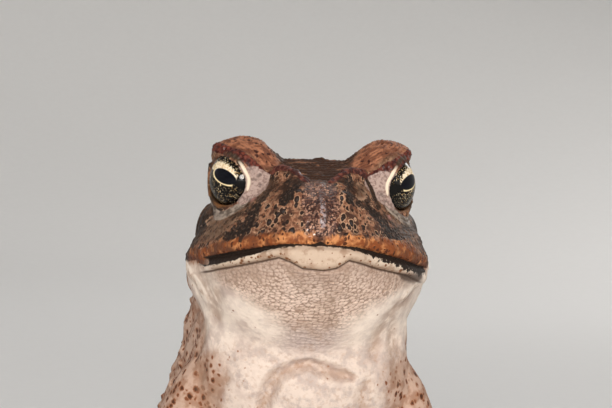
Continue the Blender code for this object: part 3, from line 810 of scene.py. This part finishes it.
def pale_share(skin):
    """0 on the back, about a half on the flanks and arms, 1 on throat, chest and belly."""
    under = skin.forward * 0.86 - skin.upward * 0.5
    under += cloud(skin.at, 7.0, seed=51, octaves=3) * 0.14
    torso = rise(-0.62, 0.5, under)
    limb = rise(-0.9, 0.9, -skin.upward + cloud(skin.at, 5.0, seed=52) * 0.2)
    limbs = skin.near("upper", "fore", "hand", "thigh", "shank", "foot")
    arms = skin.near("upper_arm")
    facing = rise(-0.3, 0.5, skin.forward)
    high = rise(-24.0, -13.0, skin.z)
    limb = np.maximum(limb, arms * facing * (0.65 + 0.25 * high) + arms * 0.3 * (1 - facing))
    pale = torso * (1 - limbs) + limb * limbs
    wide = skin.across + cloud(skin.at, 5.0, seed=53) * 2.5
    flank = rise(13.0, 21.0, wide) * rise(-15.0, -21.0, skin.z)
    neck = facing * rise(-24.0, -14.0, skin.z) * rise(-24.0, -12.0, skin.f)
    pale = np.maximum(np.minimum(pale, 1.0 - 0.5 * flank), neck * 0.85)
    pale *= 1.0 - 0.75 * rise(-46.0, -60.0, skin.f)
    pale = np.maximum(pale * (1.0 - skin.head), skin.jaw)
    return pale * (1.0 - skin.near("parotoid"))


def warts_and_pores(skin, area):
    """Warts on back, flanks and limbs, a few on the crown, and pores in the glands."""
    tree = KDTree(len(skin.at))
    for index, point in enumerate(skin.at):
        tree.insert(point, index)
    tree.balance()

    def discs(places, low, high):
        return spread(skin, tree, places, lambda share, radius: rise(low, high, share))

    body = skin.near("torso", "upper", "fore", "thigh", "shank")
    back = (1.0 - rise(0.3, 0.7, skin.marks["pale"])) * body
    back *= rise(-60.0, -55.0, skin.z)
    plain = 1.0 - rise(0.0, 0.2, skin.marks["brow"] + skin.marks["margin"])
    crown = skin.near("head") * rise(9.0, 3.0, skin.f) * rise(-0.2, 0.3, skin.upward) * plain
    gland = skin.near("parotoid")
    weight = (back + 0.25 * crown) * area
    large = scatter(skin, weight, WARTS, (0.9, 2.3), seed=61)
    small = scatter(skin, weight + 0.6 * gland * area, SMALL_WARTS, (0.35, 0.8), seed=62, spacing=0.9)
    pores = scatter(skin, gland * area, PORES, (0.3, 0.5), seed=63, spacing=1.2)
    tips = discs(large, 0.42, 0.1)
    pits = discs(pores, 1.0, 0.2)
    skin.mark("wart", discs(large, 1.0, 0.5))
    skin.mark("tip", tips)
    skin.mark("pore", pits)
    height = spread(skin, tree, large, dome) * 0.42 + spread(skin, tree, small, dome) * 0.34
    low = 1.0 - 0.75 * rise(-26.0, -12.0, skin.f) * (1.0 - skin.head)
    skin.raise_by((height + tips * 0.1) * low - pits * 0.22)


def shape_eardrums(skin):
    """A smooth disc with a low ring behind each eye."""
    for side in ("left", "right"):
        low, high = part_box("tympanum_" + side)
        middle = to_values(np.array([(low + high) / 2]))[0]
        distance = np.linalg.norm(skin.at - middle, axis=1)
        skin.raise_by(bell(distance - 3.3, 0.45) * 0.3 - rise(3.0, 2.4, distance) * 0.15)
        skin.mark("drum", rise(3.5, 2.9, distance))


def mark_sides(skin):
    """Where the head turns outward and grows dark, in its skin and as painted shade turned from the
    light, and its top.
    """
    turned = rise(0.6, 0.9, np.abs(skin.sideways)) * rise(15.0, 6.0, skin.f)
    skin.mark("side", skin.head * np.maximum(turned, rise(4.0, -4.0, skin.f)))
    skin.mark("top", skin.head * rise(0.35, 0.7, skin.upward) * rise(24.0, 18.0, skin.f))
    skin.mark("face", skin.head)
    skin.mark("gland", skin.near("parotoid"))
    skin.mark("digit", skin.near("hand", "foot"))


def make_skin(frame):
    """Fuses the flesh, smooths each part and the neck, and works the skin from there."""
    obj = fused_skin(frame)
    names = nearest_nodes(frame, rows_of(obj.data.vertices, "co"))
    weights = np.zeros(len(names))
    for start, weight in SMOOTHING.items():
        weights[np.char.startswith(names, start)] = weight
    soften(obj, weights, FLESH_ROUNDS)
    f, z = values_of(obj)[:, 1:].T
    soften(obj, rise(-4.5, -9.5, z) * rise(-26.0, -19.0, z) * rise(-6.0, 1.0, f), NECK_ROUNDS)
    refine_front(obj)
    skin = Skin(obj, frame)
    area = np.where(in_front(skin.at), FRONT_FACE_AREA, 1.0)
    skin.mark("pale", skin.blurred(pale_share(skin), PALE_ROUNDS))
    steps = (
        (turn_lids,),
        (draw_marks, mark_sides, shape_eyes),
        (shape_brows, settle_brows, shape_forehead, shape_mouth),
        (shape_snout, shape_throat, body_folds, shape_eardrums),
    )
    for brushes in steps:
        for brush in brushes:
            brush(skin)
        skin.write()
    warts_and_pores(skin, area)
    skin.z[:] = np.maximum(skin.z, -MOUTH_CORNER_Z)
    skin.write()
    for name, amount in skin.marks.items():
        keep_values(obj, name, amount.astype(np.float32))
    obj.data.shade_smooth()
    return obj


# Materials


class Value:
    """A number that a material works out at each place, to reckon with like any other."""

    def __init__(self, graph, socket):
        self.graph, self.socket = graph, socket

    def __add__(self, other):
        return self.graph.math("ADD", self, other)

    def __sub__(self, other):
        return self.graph.math("SUBTRACT", self, other)

    def __rsub__(self, other):
        return self.graph.math("SUBTRACT", other, self)

    def __mul__(self, other):
        return self.graph.math("MULTIPLY", self, other)

    def __abs__(self):
        return self.graph.math("ABSOLUTE", self)


class Graph:
    """Short ways to lay out the nodes of one material. Sizes are in millimetres."""

    def __init__(self, name):
        self.material = bpy.data.materials.new(name)
        self.material.use_nodes = True
        self.tree = self.material.node_tree
        metres = self.add("TexCoord", {})["Object"]
        self.place = self.add("VectorMath", {0: metres, "Scale": 1000.0}, operation="SCALE")[0]

    def add(self, kind, inputs, **settings):
        """Adds a node with its inputs filled and returns its outputs."""
        node = self.tree.nodes.new("ShaderNode" + kind)
        for name, value in settings.items():
            setattr(node, name, value)
        for key, value in inputs.items():
            self.put(node.inputs[key], value)
        return node.outputs

    def put(self, socket, value):
        """Links a socket to another's output, or gives it a fixed value or colour."""
        value = getattr(value, "socket", value)
        if isinstance(value, bpy.types.NodeSocket):
            self.tree.links.new(value, socket)
        elif socket.type == "RGBA":
            socket.default_value = (*(percent / 100 for percent in value), 1.0)
        else:
            socket.default_value = value

    def finish(self, inputs):
        """Fills the shader's inputs and returns the material."""
        for name, value in inputs.items():
            self.put(self.tree.nodes["Principled BSDF"].inputs[name], value)
        return self.material

    def mark(self, name):
        return Value(self, self.add("Attribute", {}, attribute_name=name)["Fac"])

    def math(self, operation, a, b=0.0):
        return Value(self, self.add("Math", {0: a, 1: b}, operation=operation)[0])

    def step(self, value, low, high):
        """0 at low, 1 at high and a smooth step between; low may be the larger."""
        inputs = {"Value": value, "From Min": min(low, high), "From Max": max(low, high)}
        risen = Value(self, self.add("MapRange", inputs, interpolation_type="SMOOTHSTEP")[0])
        return risen if low < high else 1.0 - risen

    def height(self, low, high):
        """A step over the height above the corner of the mouth."""
        return self.step(self.z, MOUTH_CORNER_Z + low, MOUTH_CORNER_Z + high)

    def stretched(self, stretch):
        if stretch is None:
            return self.place
        return self.add("VectorMath", {0: self.place, 1: stretch}, operation="MULTIPLY")[0]

    def warped(self, size, amount, stretch=None):
        """The place pushed about by noise, so that patterns on it look grown."""
        noise = self.add("TexNoise", {"Vector": self.place, "Scale": 1.0 / size})["Color"]
        push = self.add("VectorMath", {0: noise, "Scale": amount}, operation="SCALE")[0]
        return self.add("VectorMath", {0: self.stretched(stretch), 1: push}, operation="ADD")[0]

    def noise(self, size, detail=3.0, roughness=0.55, stretch=None):
        place = self.stretched(stretch)
        inputs = {"Vector": place, "Scale": 1.0 / size, "Detail": detail, "Roughness": roughness}
        return Value(self, self.add("TexNoise", inputs)["Fac"])

    def centred(self, size, detail=2.0, **noise):
        """Noise from about -0.5 to 0.5."""
        return self.noise(size, detail, **noise) - 0.5

    def patches(self, size, low, high, **noise):
        """Patches: a step where noise of a size passes from one level to another."""
        return self.step(self.noise(size, **noise), low, high)

    def ragged(self, name, size, amount, low, high):
        """A mark whose edge is torn by noise."""
        return self.step(self.mark(name) + self.centred(size) * amount, low, high)

    def cells(self, size, vector=None, feature="F1"):
        """Distance from the nearest of scattered points, and a number for each of them."""
        inputs = {"Vector": self.place if vector is None else vector, "Scale": 1.0 / size}
        cell = self.add("TexVoronoi", inputs, feature=feature)
        number = self.add("SeparateColor", {0: cell["Color"]})[0]
        return Value(self, cell["Distance"]), Value(self, number)

    def spots(self, size, most, vector, least=0.1, ragged=0.2):
        """Scattered spots: how far inside a spot's edge each place lies, in shares of size."""
        distance, number = self.cells(size, vector)
        return self.blend(number, least, most) - distance + self.centred(size * 0.4) * ragged

    def oval(self, along, across, centre, half):
        """1 on the edge of an oval, less inside it."""
        a = (along - centre[0]) * (1.0 / half[0])
        b = (across - centre[1]) * (1.0 / half[1])
        return self.math("SQRT", a * a + b * b)

    def blend(self, share, a, b):
        """A number between a and b."""
        return Value(self, self.add("Mix", {0: share, 2: a, 3: b}, data_type="FLOAT")[0])

    def mix(self, share, a, b):
        """A colour between a and b."""
        return self.add("Mix", {0: share, 6: a, 7: b}, data_type="RGBA")[2]

    def mottle(self, size, low, high, a, b, **noise):
        """Colour a under patches of b."""
        return self.mix(self.patches(size, low, high, **noise), a, b)

    def bump(self, height, distance, strength, **after):
        inputs = {"Height": height, "Distance": distance * MM, "Strength": strength}
        return self.add("Bump", {**inputs, **after})["Normal"]


def body_colour(g):
    """Brown mottled back, spotted beige flanks and arms, marbled cream belly."""
    back = g.mottle(9.0, 0.4, 0.6, UMBER, BROWN)
    back = g.mottle(4.0, 0.54, 0.66, back, (20, 11.5, 6.5), detail=4.0)
    back = g.mix(g.patches(1.6, 0.5, 0.66, detail=5.0) * 0.6, back, UMBER)
    back = g.mix(g.mark("wart") * 0.75, back, (21, 12, 7))
    back = g.mix(g.mark("tip"), back, (3, 1.6, 1.1))
    flank = g.mottle(3.0, 0.42, 0.6, (55, 38, 29.5), (38, 22, 15))
    low = g.height(-12.0, -20.0)
    belly = g.mix(low, CREAM, (71, 59.5, 52))
    belly = g.mottle(6.0, 0.48, 0.7, belly, (60, 48, 42), detail=4.0)
    marbled = g.patches(2.6, 0.44, 0.62, detail=5.0, roughness=0.65) * g.blend(low, 0.3, 0.9)
    belly = g.mix(marbled, belly, (50, 40.5, 36.5))
    belly = g.mix(low * g.patches(0.9, 0.5, 0.7) * 0.5, belly, (50, 34, 25))
    pale = g.mark("pale")
    torn = pale + g.centred(2.4, detail=4.0) * 0.35
    colour = g.mix(g.step(torn, 0.18, 0.34), back, flank)
    colour = g.mix(g.step(torn, 0.6, 0.95), colour, belly)
    spots = g.spots(1.5, 0.46, g.warped(1.4, 0.7), ragged=0.3)
    spots = spots + g.blend(g.step(pale, 0.5, 1.0), 0.05, -0.34)
    seen = g.step(pale, 0.1, 0.3)
    colour = g.mix(g.step(spots, -0.12, 0.0) * seen * 0.55, colour, (36, 16, 8))
    rusty = g.mix(g.step(spots, 0.1, 0.25), (22, 7.8, 3.6), (7.5, 3, 1.6))
    return g.mix(g.step(spots, -0.02, 0.07) * seen, colour, rusty)


def throat_colour(g, colour):
    """Pale grains over brown gaps, lavender below, painted shade under the lower lip, and brown stains
    with painted shade in the folds.
    """
    pale = g.mottle(5.0, 0.42, 0.66, (72, 55, 46), (54, 39, 31))
    lavender = g.height(-10.0, -15.0)
    pale = g.mix(lavender, pale, LAVENDER)
    gap = g.mix(lavender, (26, 16.5, 11.5), (43, 33.5, 30))
    grains = g.mix(g.step(g.mark("pebble"), 0.0, 0.45), gap, pale)
    grains = g.mix(g.patches(3.5, 0.52, 0.66, detail=4.0) * 0.5, grains, (36, 23.5, 16.5))
    # Painted shade on the throat just below the lip's crease, where the lower lip overhangs it
    grains = g.mix(g.step(g.mark("below"), -5.5, -0.3) * 0.62, grains, (28, 18, 13))
    colour = g.mix(g.mark("throat") * 0.9, colour, grains)
    # Brown stains with painted shade in the folds of neck and chest
    folds = g.math("MAXIMUM", g.mark("fold_stain_and_shade"), g.mark("chest"))
    colour = g.mix(folds * g.patches(1.8, 0.25, 0.6) * 0.6, colour, (38, 23.5, 16))
    # Painted shade at the corner of the jaw
    return g.mix(g.mark("jaw_corner_shade") * 0.75, colour, (10, 6.5, 4.5))


def face_colour(g, colour):
    """Tan grains with ringed dark spots that carry a painted highlight, charcoal patches, dark sides with
    painted shade, and a brown snout with a painted highlight on its ridge.
    """
    tan = g.mottle(0.9, 0.42, 0.6, TAN, (19, 7.5, 4))
    tan = g.mottle(2.8, 0.5, 0.6, tan, (7.5, 3.3, 2.1))
    spots = g.spots(1.3, 0.5, g.warped(1.3, 0.55, stretch=(1.0, 1.0, 0.7)), least=0.16)
    ringed = g.step(spots, -0.17, -0.09) * g.patches(2.6, 0.44, 0.56)
    face = g.mix(ringed, tan, (56, 34, 21.5))
    face = g.mix(g.step(spots, -0.06, 0.0), face, (1.8, 1, 0.8))
    # Painted highlight: a grey-blue glint in the middle of each dark spot
    face = g.mix(g.step(spots, 0.14, 0.24), face, (4.5, 4, 4.2))
    small = g.spots(0.7, 0.44, g.warped(0.8, 0.5), ragged=0.3)
    face = g.mix(g.step(small, 0.0, 0.08) * g.patches(2.0, 0.4, 0.52), face, (4, 1.5, 1))
    patch = g.mottle(0.8, 0.52, 0.66, CHARCOAL, (6, 3.4, 2.5))
    patch = g.mottle(0.7, 0.6, 0.66, patch, (26, 14, 9), detail=4.0)
    face = g.mix(g.ragged("charcoal", 1.1, 1.7, 0.45, 0.55), face, patch)
    # Dark skin on the head's sides and back, with painted shade where the sides turn from the light
    side = g.mottle(2.5, 0.4, 0.6, (1.3, 0.8, 0.6), (3.8, 2, 1.2))
    speckles = g.patches(0.75, 0.55, 0.64, detail=4.0) * g.patches(3.0, 0.48, 0.64)
    side = g.mix(speckles, side, (30, 17.5, 12.5))
    face = g.mix(g.ragged("side", 1.5, 0.9, 0.3, 0.55), face, side)
    sand = g.mottle(0.8, 0.45, 0.65, SAND, (30, 15, 8.5))
    face = g.mix(g.ragged("tan", 0.9, 1.0, 0.32, 0.44), face, sand)
    holes = g.step(spots, -0.04, 0.02) * g.step(g.mark("tan"), 0.1, 0.4)
    face = g.mix(holes, face, (3, 1.6, 1.2))
    top = g.mottle(1.4, 0.46, 0.6, UMBER, (17, 9, 5.5), stretch=(0.35, 1.0, 1.0))
    face = g.mix(g.mark("top"), face, top)
    snout = g.mix(g.step(g.cells(0.6)[1], 0.15, 0.8), (12, 4.2, 2.6), (48, 26, 17.5))
    snout = g.mix(g.patches(2.0, 0.48, 0.6) * 0.8, snout, (7.5, 2.4, 1.5))
    snout = g.mix(g.step(g.mark("grain"), 0.55, 0.1), snout, (3, 1, 0.8))
    face = g.mix(g.ragged("snout", 1.6, 1.5, 0.4, 0.6), face, snout)
    # Painted highlight: a pale wet glint along the nose's ridge, strongest low down
    crown = g.ragged("ridge", 0.9, 1.2, 0.6, 0.85) * g.patches(0.8, 0.44, 0.56)
    face = g.mix(crown * g.blend(g.height(13.5, 11.5), 0.1, 0.75), face, (46, 37, 38))
    return g.mix(g.mark("face"), colour, g.mix(0.14, face, UMBER))


def orange_colour(g, colour):
    """The orange upper lip, with rust dots that crowd along its edge."""
    above = g.mark("above")
    tongues = g.centred(1.5, detail=4.0, stretch=(1.3, 1.0, 0.6))
    edge = g.mark("orange_top") - above + tongues * 4.2
    where = g.step(edge, -0.3, 0.6) * g.mark("orange") * g.step(above, -0.6, -0.3)
    where = g.math("MAXIMUM", where, g.step(g.mark("lip_end"), 0.4, 0.6))
    light = g.noise(1.9) + g.step(abs(g.x), 11.0, 5.0) * 0.1
    orange = g.mix(g.step(light, 0.47, 0.66), ORANGE, (56, 23.5, 8.8))
    streaks = g.patches(2.2, 0.52, 0.64, stretch=(1.6, 1.0, 0.45))
    orange = g.mix(streaks * 0.85, orange, (12, 3.6, 1.6))
    far = g.step(abs(g.x - 4.0), 8.0, 17.0) * g.patches(3.0, 0.38, 0.58)
    orange = g.mix(far * 0.85, orange, (10.5, 4.2, 2.3))
    dots = g.spots(0.85, 0.5, g.warped(0.8, 0.4, (1, 1, 0.75))) + g.step(above, 1.3, 0.2) * 0.12
    dots = dots - g.patches(2.2, 0.5, 0.64) * 0.16
    orange = g.mix(g.step(dots, 0.02, 0.1), orange, (8.5, 2.6, 1.2))
    orange = g.mix(g.ragged("charcoal", 1.0, 1.1, 0.55, 0.75), orange, (4.5, 2.2, 1.4))
    wedge = g.step(g.oval(g.x, above, (0.2, 1.0), (0.9, 1.5)), 1.15, 0.6)
    orange = g.mix(wedge * 0.85, orange, (8.5, 3, 1.6))
    return g.mix(where, colour, orange)


def brow_colour(g, colour):
    """Streaked forehead, folded tan lids and orange-tan brows, with painted shade in the troughs of their
    wrinkles, and maroon margins and crests.
    """
    wrinkle = g.mark("wrinkle")
    streak = g.mottle(1.3, 0.54, 0.66, (5, 2.1, 1.1), (25, 11.5, 6.5), stretch=(0.3, 1.0, 1.0))
    # Painted shade in the troughs of the forehead's wrinkles
    streak = g.mix(wrinkle * 0.7, streak, (2.5, 1.4, 1))
    colour = g.mix(g.mark("forehead"), colour, streak)
    lid = g.mottle(1.0, 0.4, 0.62, (36, 21, 13), (13, 6, 3.2))
    # Painted shade in the troughs of the lid's folds
    lid = g.mix(g.step(wrinkle, 0.5, 1.0) * 0.6, lid, (8.5, 4.2, 2.5))
    colour = g.mix(g.mark("lid"), colour, lid)
    brow = g.mottle(1.8, 0.42, 0.6, (39, 16.5, 8.8), (18, 6.6, 3.5))
    # Reddish-brown streaks with painted shade in the troughs of the brow's wrinkles
    broken = g.step(wrinkle, 0.45, 0.9) * g.patches(1.4, 0.4, 0.6) * 0.7
    brow = g.mix(broken, brow, (8.5, 2.6, 1.7))
    dots = g.spots(1.25, 0.42, g.warped(1.2, 0.8), ragged=0.3)
    brow = g.mix(g.step(dots, 0.02, 0.1), brow, (4.5, 1.3, 0.9))
    ahead = g.step(g.y + g.centred(3.0) * 8.0, MIDDLE_F - 1.0, MIDDLE_F - 8.0)
    colour = g.mix(g.mark("brow") * g.blend(ahead, 0.15, 1.0), colour, brow)
    crest = g.mottle(1.0, 0.45, 0.62, (4.5, 1.1, 0.8), (15, 4.5, 3))
    colour = g.mix(g.ragged("crest", 0.8, 0.6, 0.35, 0.5), colour, crest)
    margin = g.mottle(0.8, 0.4, 0.62, (4, 0.8, 0.6), (15, 3.4, 2))
    return g.mix(g.ragged("margin", 0.6, 0.5, 0.4, 0.55), colour, margin)


def lid_colour(g, colour):
    """Lavender bare skin, grey lower lids and a cream to orange rim with painted shade on its top and
    outer side.
    """
    bag = g.mottle(1.6, 0.42, 0.6, (34, 27.5, 22.5), (12, 9, 7), stretch=(1, 1, 1.6))
    colour = g.mix(g.ragged("bag", 1.0, 0.4, 0.3, 0.6), colour, bag)
    bare = g.mottle(0.55, 0.45, 0.62, (42, 31, 27), (25, 16.5, 14))
    bare = g.mottle(1.8, 0.55, 0.7, bare, (17, 12, 10.5))
    keep = 1.0 - g.ragged("charcoal", 0.8, 0.6, 0.5, 0.7)
    colour = g.mix(g.ragged("bare", 1.0, 0.4, 0.25, 0.5) * keep, colour, bare)
    colour = g.mix(g.mark("tear"), colour, (36, 18, 15))
    # Painted shade on the rim's top under the brow and on its outer side
    shaded = g.math("MAXIMUM", g.mark("rim_dark"), g.height(17.5, 20.5))
    rim = g.mix(shaded, (30, 12.5, 4), (5, 3, 1.8))
    rim = g.mix(g.step(g.mark("rim_cream"), 0.15, 0.6), rim, (82, 70, 55))
    return g.mix(g.mark("rim"), colour, rim)


def lip_colour(g, colour):
    """Ivory lower lip and its crease, both with painted shade, and the ragged dark band of the mouth: the
    upper lip's dark edge with painted shade in the mouth's gap.
    """
    below, above = g.mark("below"), g.mark("above")
    ivory = g.mix(g.step(abs(g.x - 0.4), 12.0, 7.0), IVORY, (56, 43, 33))
    ivory = g.mottle(1.8, 0.48, 0.66, ivory, (40, 27, 19), detail=4.0)
    # Darker brown toward the lip's lower edge: painted shade where the lip turns under
    ivory = g.mix(g.step(below, 1.6, 0.3) * 0.65, ivory, (34, 22, 15))
    low = g.step(below, 2.2, 1.0) * g.step(below, 0.1, 0.5) * 0.24
    dots = g.spots(0.85, 0.32, g.warped(0.8, 0.4)) + low - 0.1
    ivory = g.mix(g.step(dots, 0.0, 0.08), ivory, (20, 8.5, 4))
    colour = g.mix(g.mark("ivory"), colour, ivory)
    # Painted shade in the crease under the lower lip
    crease = g.step(abs(below), 0.36, 0.1) * g.mark("jaw_front")
    colour = g.mix(crease * 0.9, colour, (7.5, 4, 2.5))
    # Painted shade at the corner of the jaw
    colour = g.mix(g.mark("jaw_corner_shade") * 0.7, colour, (10, 7, 5.5))
    # The dark band: the upper lip's dark lower edge, with painted shade in the gap of the mouth
    torn = g.centred(0.9, detail=3.0) * g.blend(g.step(g.x, 6.0, 12.0), 0.9, 3.4)
    top = g.step(g.mark("band_top") - above, -0.12, 0.05)
    deep = g.step(above + torn - g.mark("band_low"), -0.1, 0.12)
    ends = g.step(g.mark("lips"), 0.3, 0.6) * g.step(g.x, -22.6, -21.4)
    colour = g.mix(top * deep * ends, colour, (2.4, 1.5, 1.1))
    # Painted shade in the nostril pits, near black
    return g.mix(g.mark("pit"), colour, (0.8, 0.6, 0.6))


def skin_material():
    """All of the skin's colours, glossier on the snout and along brows and crests."""
    g = Graph("toad_skin")
    g.x, g.y, g.z = (Value(g, socket) for socket in g.add("SeparateXYZ", {0: g.place}))
    colour = throat_colour(g, body_colour(g))
    colour = orange_colour(g, face_colour(g, colour))
    colour = lid_colour(g, brow_colour(g, colour))
    lobe = g.mottle(2.0, 0.45, 0.7, CREAM, (56, 40, 30))
    colour = g.mix(g.step(g.mark("lobe") - g.mark("lip_end"), 0.35, 0.7), colour, lobe)
    colour = lip_colour(g, colour)
    gland = g.mottle(3.0, 0.4, 0.65, (14, 7.6, 4.5), (6.5, 3.4, 2.1))
    gland = g.mottle(1.0, 0.55, 0.7, gland, (24, 14, 8.5))
    # Painted shade in the pits of the gland's pores
    gland = g.mix(g.mark("pore"), gland, (2.5, 1.4, 1))
    colour = g.mix(g.mark("gland"), colour, gland)
    colour = g.mix(g.mark("drum") * 0.7, colour, (15, 8.5, 5))
    digit = g.mottle(2.0, 0.4, 0.6, (26, 15, 9), (12, 6.2, 3.6))
    colour = g.mix(g.mark("digit") * 0.6, colour, digit)
    lined = g.math("MAXIMUM", g.mark("margin"), g.mark("crest"))
    wet = g.math("MAXIMUM", g.mark("snout"), lined * 0.35)
    roughness = g.blend(wet, g.blend(g.mark("face"), 0.62, 0.55), 0.3) + g.centred(1.2) * 0.2
    fine = g.bump(g.noise(0.35, detail=4.0), 0.12, 0.5)
    grain = g.bump(g.cells(0.8, feature="SMOOTH_F1")[0], 0.25, 0.5, Normal=fine)
    gloss = {"Specular IOR Level": 0.16, "Coat Weight": g.blend(wet, 0.0, 0.8), "Coat Roughness": 0.14}
    return g.finish({"Base Color": colour, "Roughness": roughness, "Normal": grain, **gloss})


# Eyes


def make_eye(side, sign):
    """A wet eyeball whose points know how far they lie noseward and up from the pupil."""
    azimuth, elevation = (math.radians(a) for a in PUPIL_AXIS[sign])
    out = math.cos(elevation) * math.sin(azimuth) * sign
    ahead = math.cos(elevation) * math.cos(azimuth)
    axis = Vector((out, -ahead, math.sin(elevation)))
    up = (Vector((0, 0, 1)) - axis * axis.z).normalized()
    nose = axis.cross(up) * sign
    if nose.y > 0:
        nose = -nose
    bm = bmesh.new()
    bmesh.ops.create_uvsphere(bm, u_segments=160, v_segments=90, radius=(EYE_RADIUS - EYE_PLAY) * MM)
    turn = axis.to_track_quat("Z", "Y").to_matrix().to_4x4()
    bmesh.ops.transform(bm, matrix=turn, verts=bm.verts)
    ways = [v.co.normalized() for v in bm.verts]
    bmesh.ops.translate(bm, vec=at(*eye_centre(sign)), verts=bm.verts)
    eye = from_bmesh("eyeball_" + side, bm)
    for name, direction in (("noseward", nose), ("upward", up)):
        keep_values(eye, name, [way.dot(direction) * EYE_RADIUS for way in ways])
    eye.data.shade_smooth()
    return eye


def eye_material():
    """Black iris dusted with gold, a cream band above a slanting pupil, a gold line below."""
    g = Graph("toad_eye")
    u, v = g.mark("noseward"), g.mark("upward")
    slant = math.radians(PUPIL_SLANT)
    along = u * math.cos(slant) - v * math.sin(slant)
    across = u * math.sin(slant) + v * math.cos(slant)

    def oval(centre, half):
        return g.oval(along, across, centre, half)

    pupil = oval((0.0, 0.0), PUPIL_HALF)
    distance, number = g.cells(0.2)
    density = g.patches(1.3, 0.36, 0.52) * g.step(oval((-0.6, -0.2), (5.2, 5.6)), 1.1, 0.75)
    bald = g.step(oval((3.7, 0.1), (1.5, 1.2)), 0.8, 1.1)
    fleck = g.step(distance, 0.5, 0.3) * g.step(number, 0.55, 0.62) * density * bald
    gold = g.mottle(0.6, 0.4, 0.6, (50, 30, 10), (86, 72, 48))
    colour = g.mix(fleck, (0.35, 0.28, 0.25), gold)
    arch = oval((-1.0, 0.3), (3.75, 2.15)) + g.centred(0.4, detail=4.0) * 0.85
    band = g.step(arch, 1.06, 0.95) * g.step(across, -0.1, 0.2) * g.step(along, 2.95, 2.5)
    colour = g.mix(band, colour, g.mottle(0.5, 0.45, 0.62, (88, 76, 58), (62, 44, 22)))
    line = g.step(pupil, 1.24, 1.16) * g.step(across, 0.15, -0.1) * g.step(along, 2.6, 2.3)
    spur = g.step(oval((-0.1, -1.85), (0.12, 0.3)), 1.1, 0.8)
    colour = g.mix(g.math("MAXIMUM", line, spur), colour, (84, 70, 42))
    colour = g.mix(g.step(pupil, 1.06, 0.99), colour, (0.25, 0.3, 0.6))
    wet = {"Specular IOR Level": 0.0, "Coat Weight": 0.65, "Coat Roughness": 0.03, "Coat IOR": 1.36}
    normal = g.bump(g.noise(2.0), 0.02, 0.1)
    return g.finish({"Base Color": colour, "Roughness": 0.3, "Normal": normal, **wet})


# Stage


def stage_material():
    g = Graph("floor_paper")
    colour = g.mix(g.noise(6.0), (80, 79.5, 78.5), (83, 82.5, 81.5))
    normal = g.bump(g.noise(0.6, detail=5.0), 0.05, 0.2)
    return g.finish({"Base Color": colour, "Roughness": 0.8, "Normal": normal, "Specular IOR Level": 0.1})


def make_stage():
    """A pale floor that curves up far from the toad."""
    bm = bmesh.new()
    rings = []
    angles = [2 * math.pi * k / FLOOR_SIDES for k in range(FLOOR_SIDES)]
    for radius, height in smooth_path(FLOOR_PROFILE, 4)[1:]:
        rings.append([bm.verts.new((radius * math.cos(a), radius * math.sin(a), height)) for a in angles])
    middle = bm.verts.new((0, 0, 0))
    for k in range(FLOOR_SIDES):
        j = (k + 1) % FLOOR_SIDES
        bm.faces.new((middle, rings[0][k], rings[0][j]))
        for low, high in zip(rings, rings[1:]):
            bm.faces.new((low[k], high[k], high[j], low[j]))
    floor = from_bmesh("floor", bm)
    floor.data.shade_smooth()
    floor.data.materials.append(stage_material())


def add_light(name, place, size, watts, colour):
    light = bpy.data.lights.new(name, "AREA")
    light.shape = "DISK"
    light.size = size
    light.energy = watts
    light.color = colour
    made = add_object(name, light)
    made.location = place
    made.rotation_euler = (LIT_POINT - Vector(place)).to_track_quat("-Z", "Y").to_euler()
    made.visible_camera = False


def light_studio():
    """A large key light before the face, and faint light from the side, above and behind."""
    add_light("key", (-0.2, -1.75, 0.36), 0.5, 26.0, (1.0, 0.95, 0.89))
    add_light("fill", (1.1, -0.9, 0.5), 0.8, 2.0, (1.0, 0.96, 0.92))
    add_light("top", (0.0, 0.2, 2.0), 1.6, 6.0, (1.0, 1.0, 1.0))
    add_light("back", (0.9, 1.5, 1.0), 0.8, 8.0, (1.0, 0.98, 0.96))
    world = bpy.data.worlds.new("studio")
    world.use_nodes = True
    background = world.node_tree.nodes["Background"]
    background.inputs["Color"].default_value = (1.0, 0.99, 0.98, 1.0)
    background.inputs["Strength"].default_value = 0.25
    bpy.context.scene.world = world
    bpy.context.scene.view_settings.view_transform = "Standard"


def place_camera():
    """The photograph's view: level, from a little to the toad's right, rolled 2 degrees."""
    target = at(*CAMERA_TARGET)
    yaw = math.radians(CAMERA_YAW)
    camera = add_object("camera", bpy.data.cameras.new("camera"))
    camera.data.sensor_width = SENSOR_WIDTH
    camera.data.lens = SENSOR_WIDTH * CAMERA_DISTANCE / FRAME_WIDTH
    camera.data.clip_start = 0.01
    camera.location = target + Vector((math.sin(yaw), -math.cos(yaw), 0)) * CAMERA_DISTANCE
    look = (target - camera.location).to_track_quat("-Z", "Y")
    camera.rotation_mode = "QUATERNION"
    camera.rotation_quaternion = look @ Quaternion((0, 0, 1), math.radians(CAMERA_ROLL))
    bpy.context.scene.camera = camera


for old in list(bpy.data.objects):
    bpy.data.objects.remove(old)
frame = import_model()
place_camera()

skin = make_skin(frame)
skin.data.materials.append(skin_material())
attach(skin, "root")
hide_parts(*flesh_names(frame))
wet_eye = eye_material()
for side, sign in (("left", 1), ("right", -1)):
    eye = make_eye(side, sign)
    eye.data.materials.append(wet_eye)
    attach(eye, "root")
    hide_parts("eye_" + side)
make_stage()
light_studio()
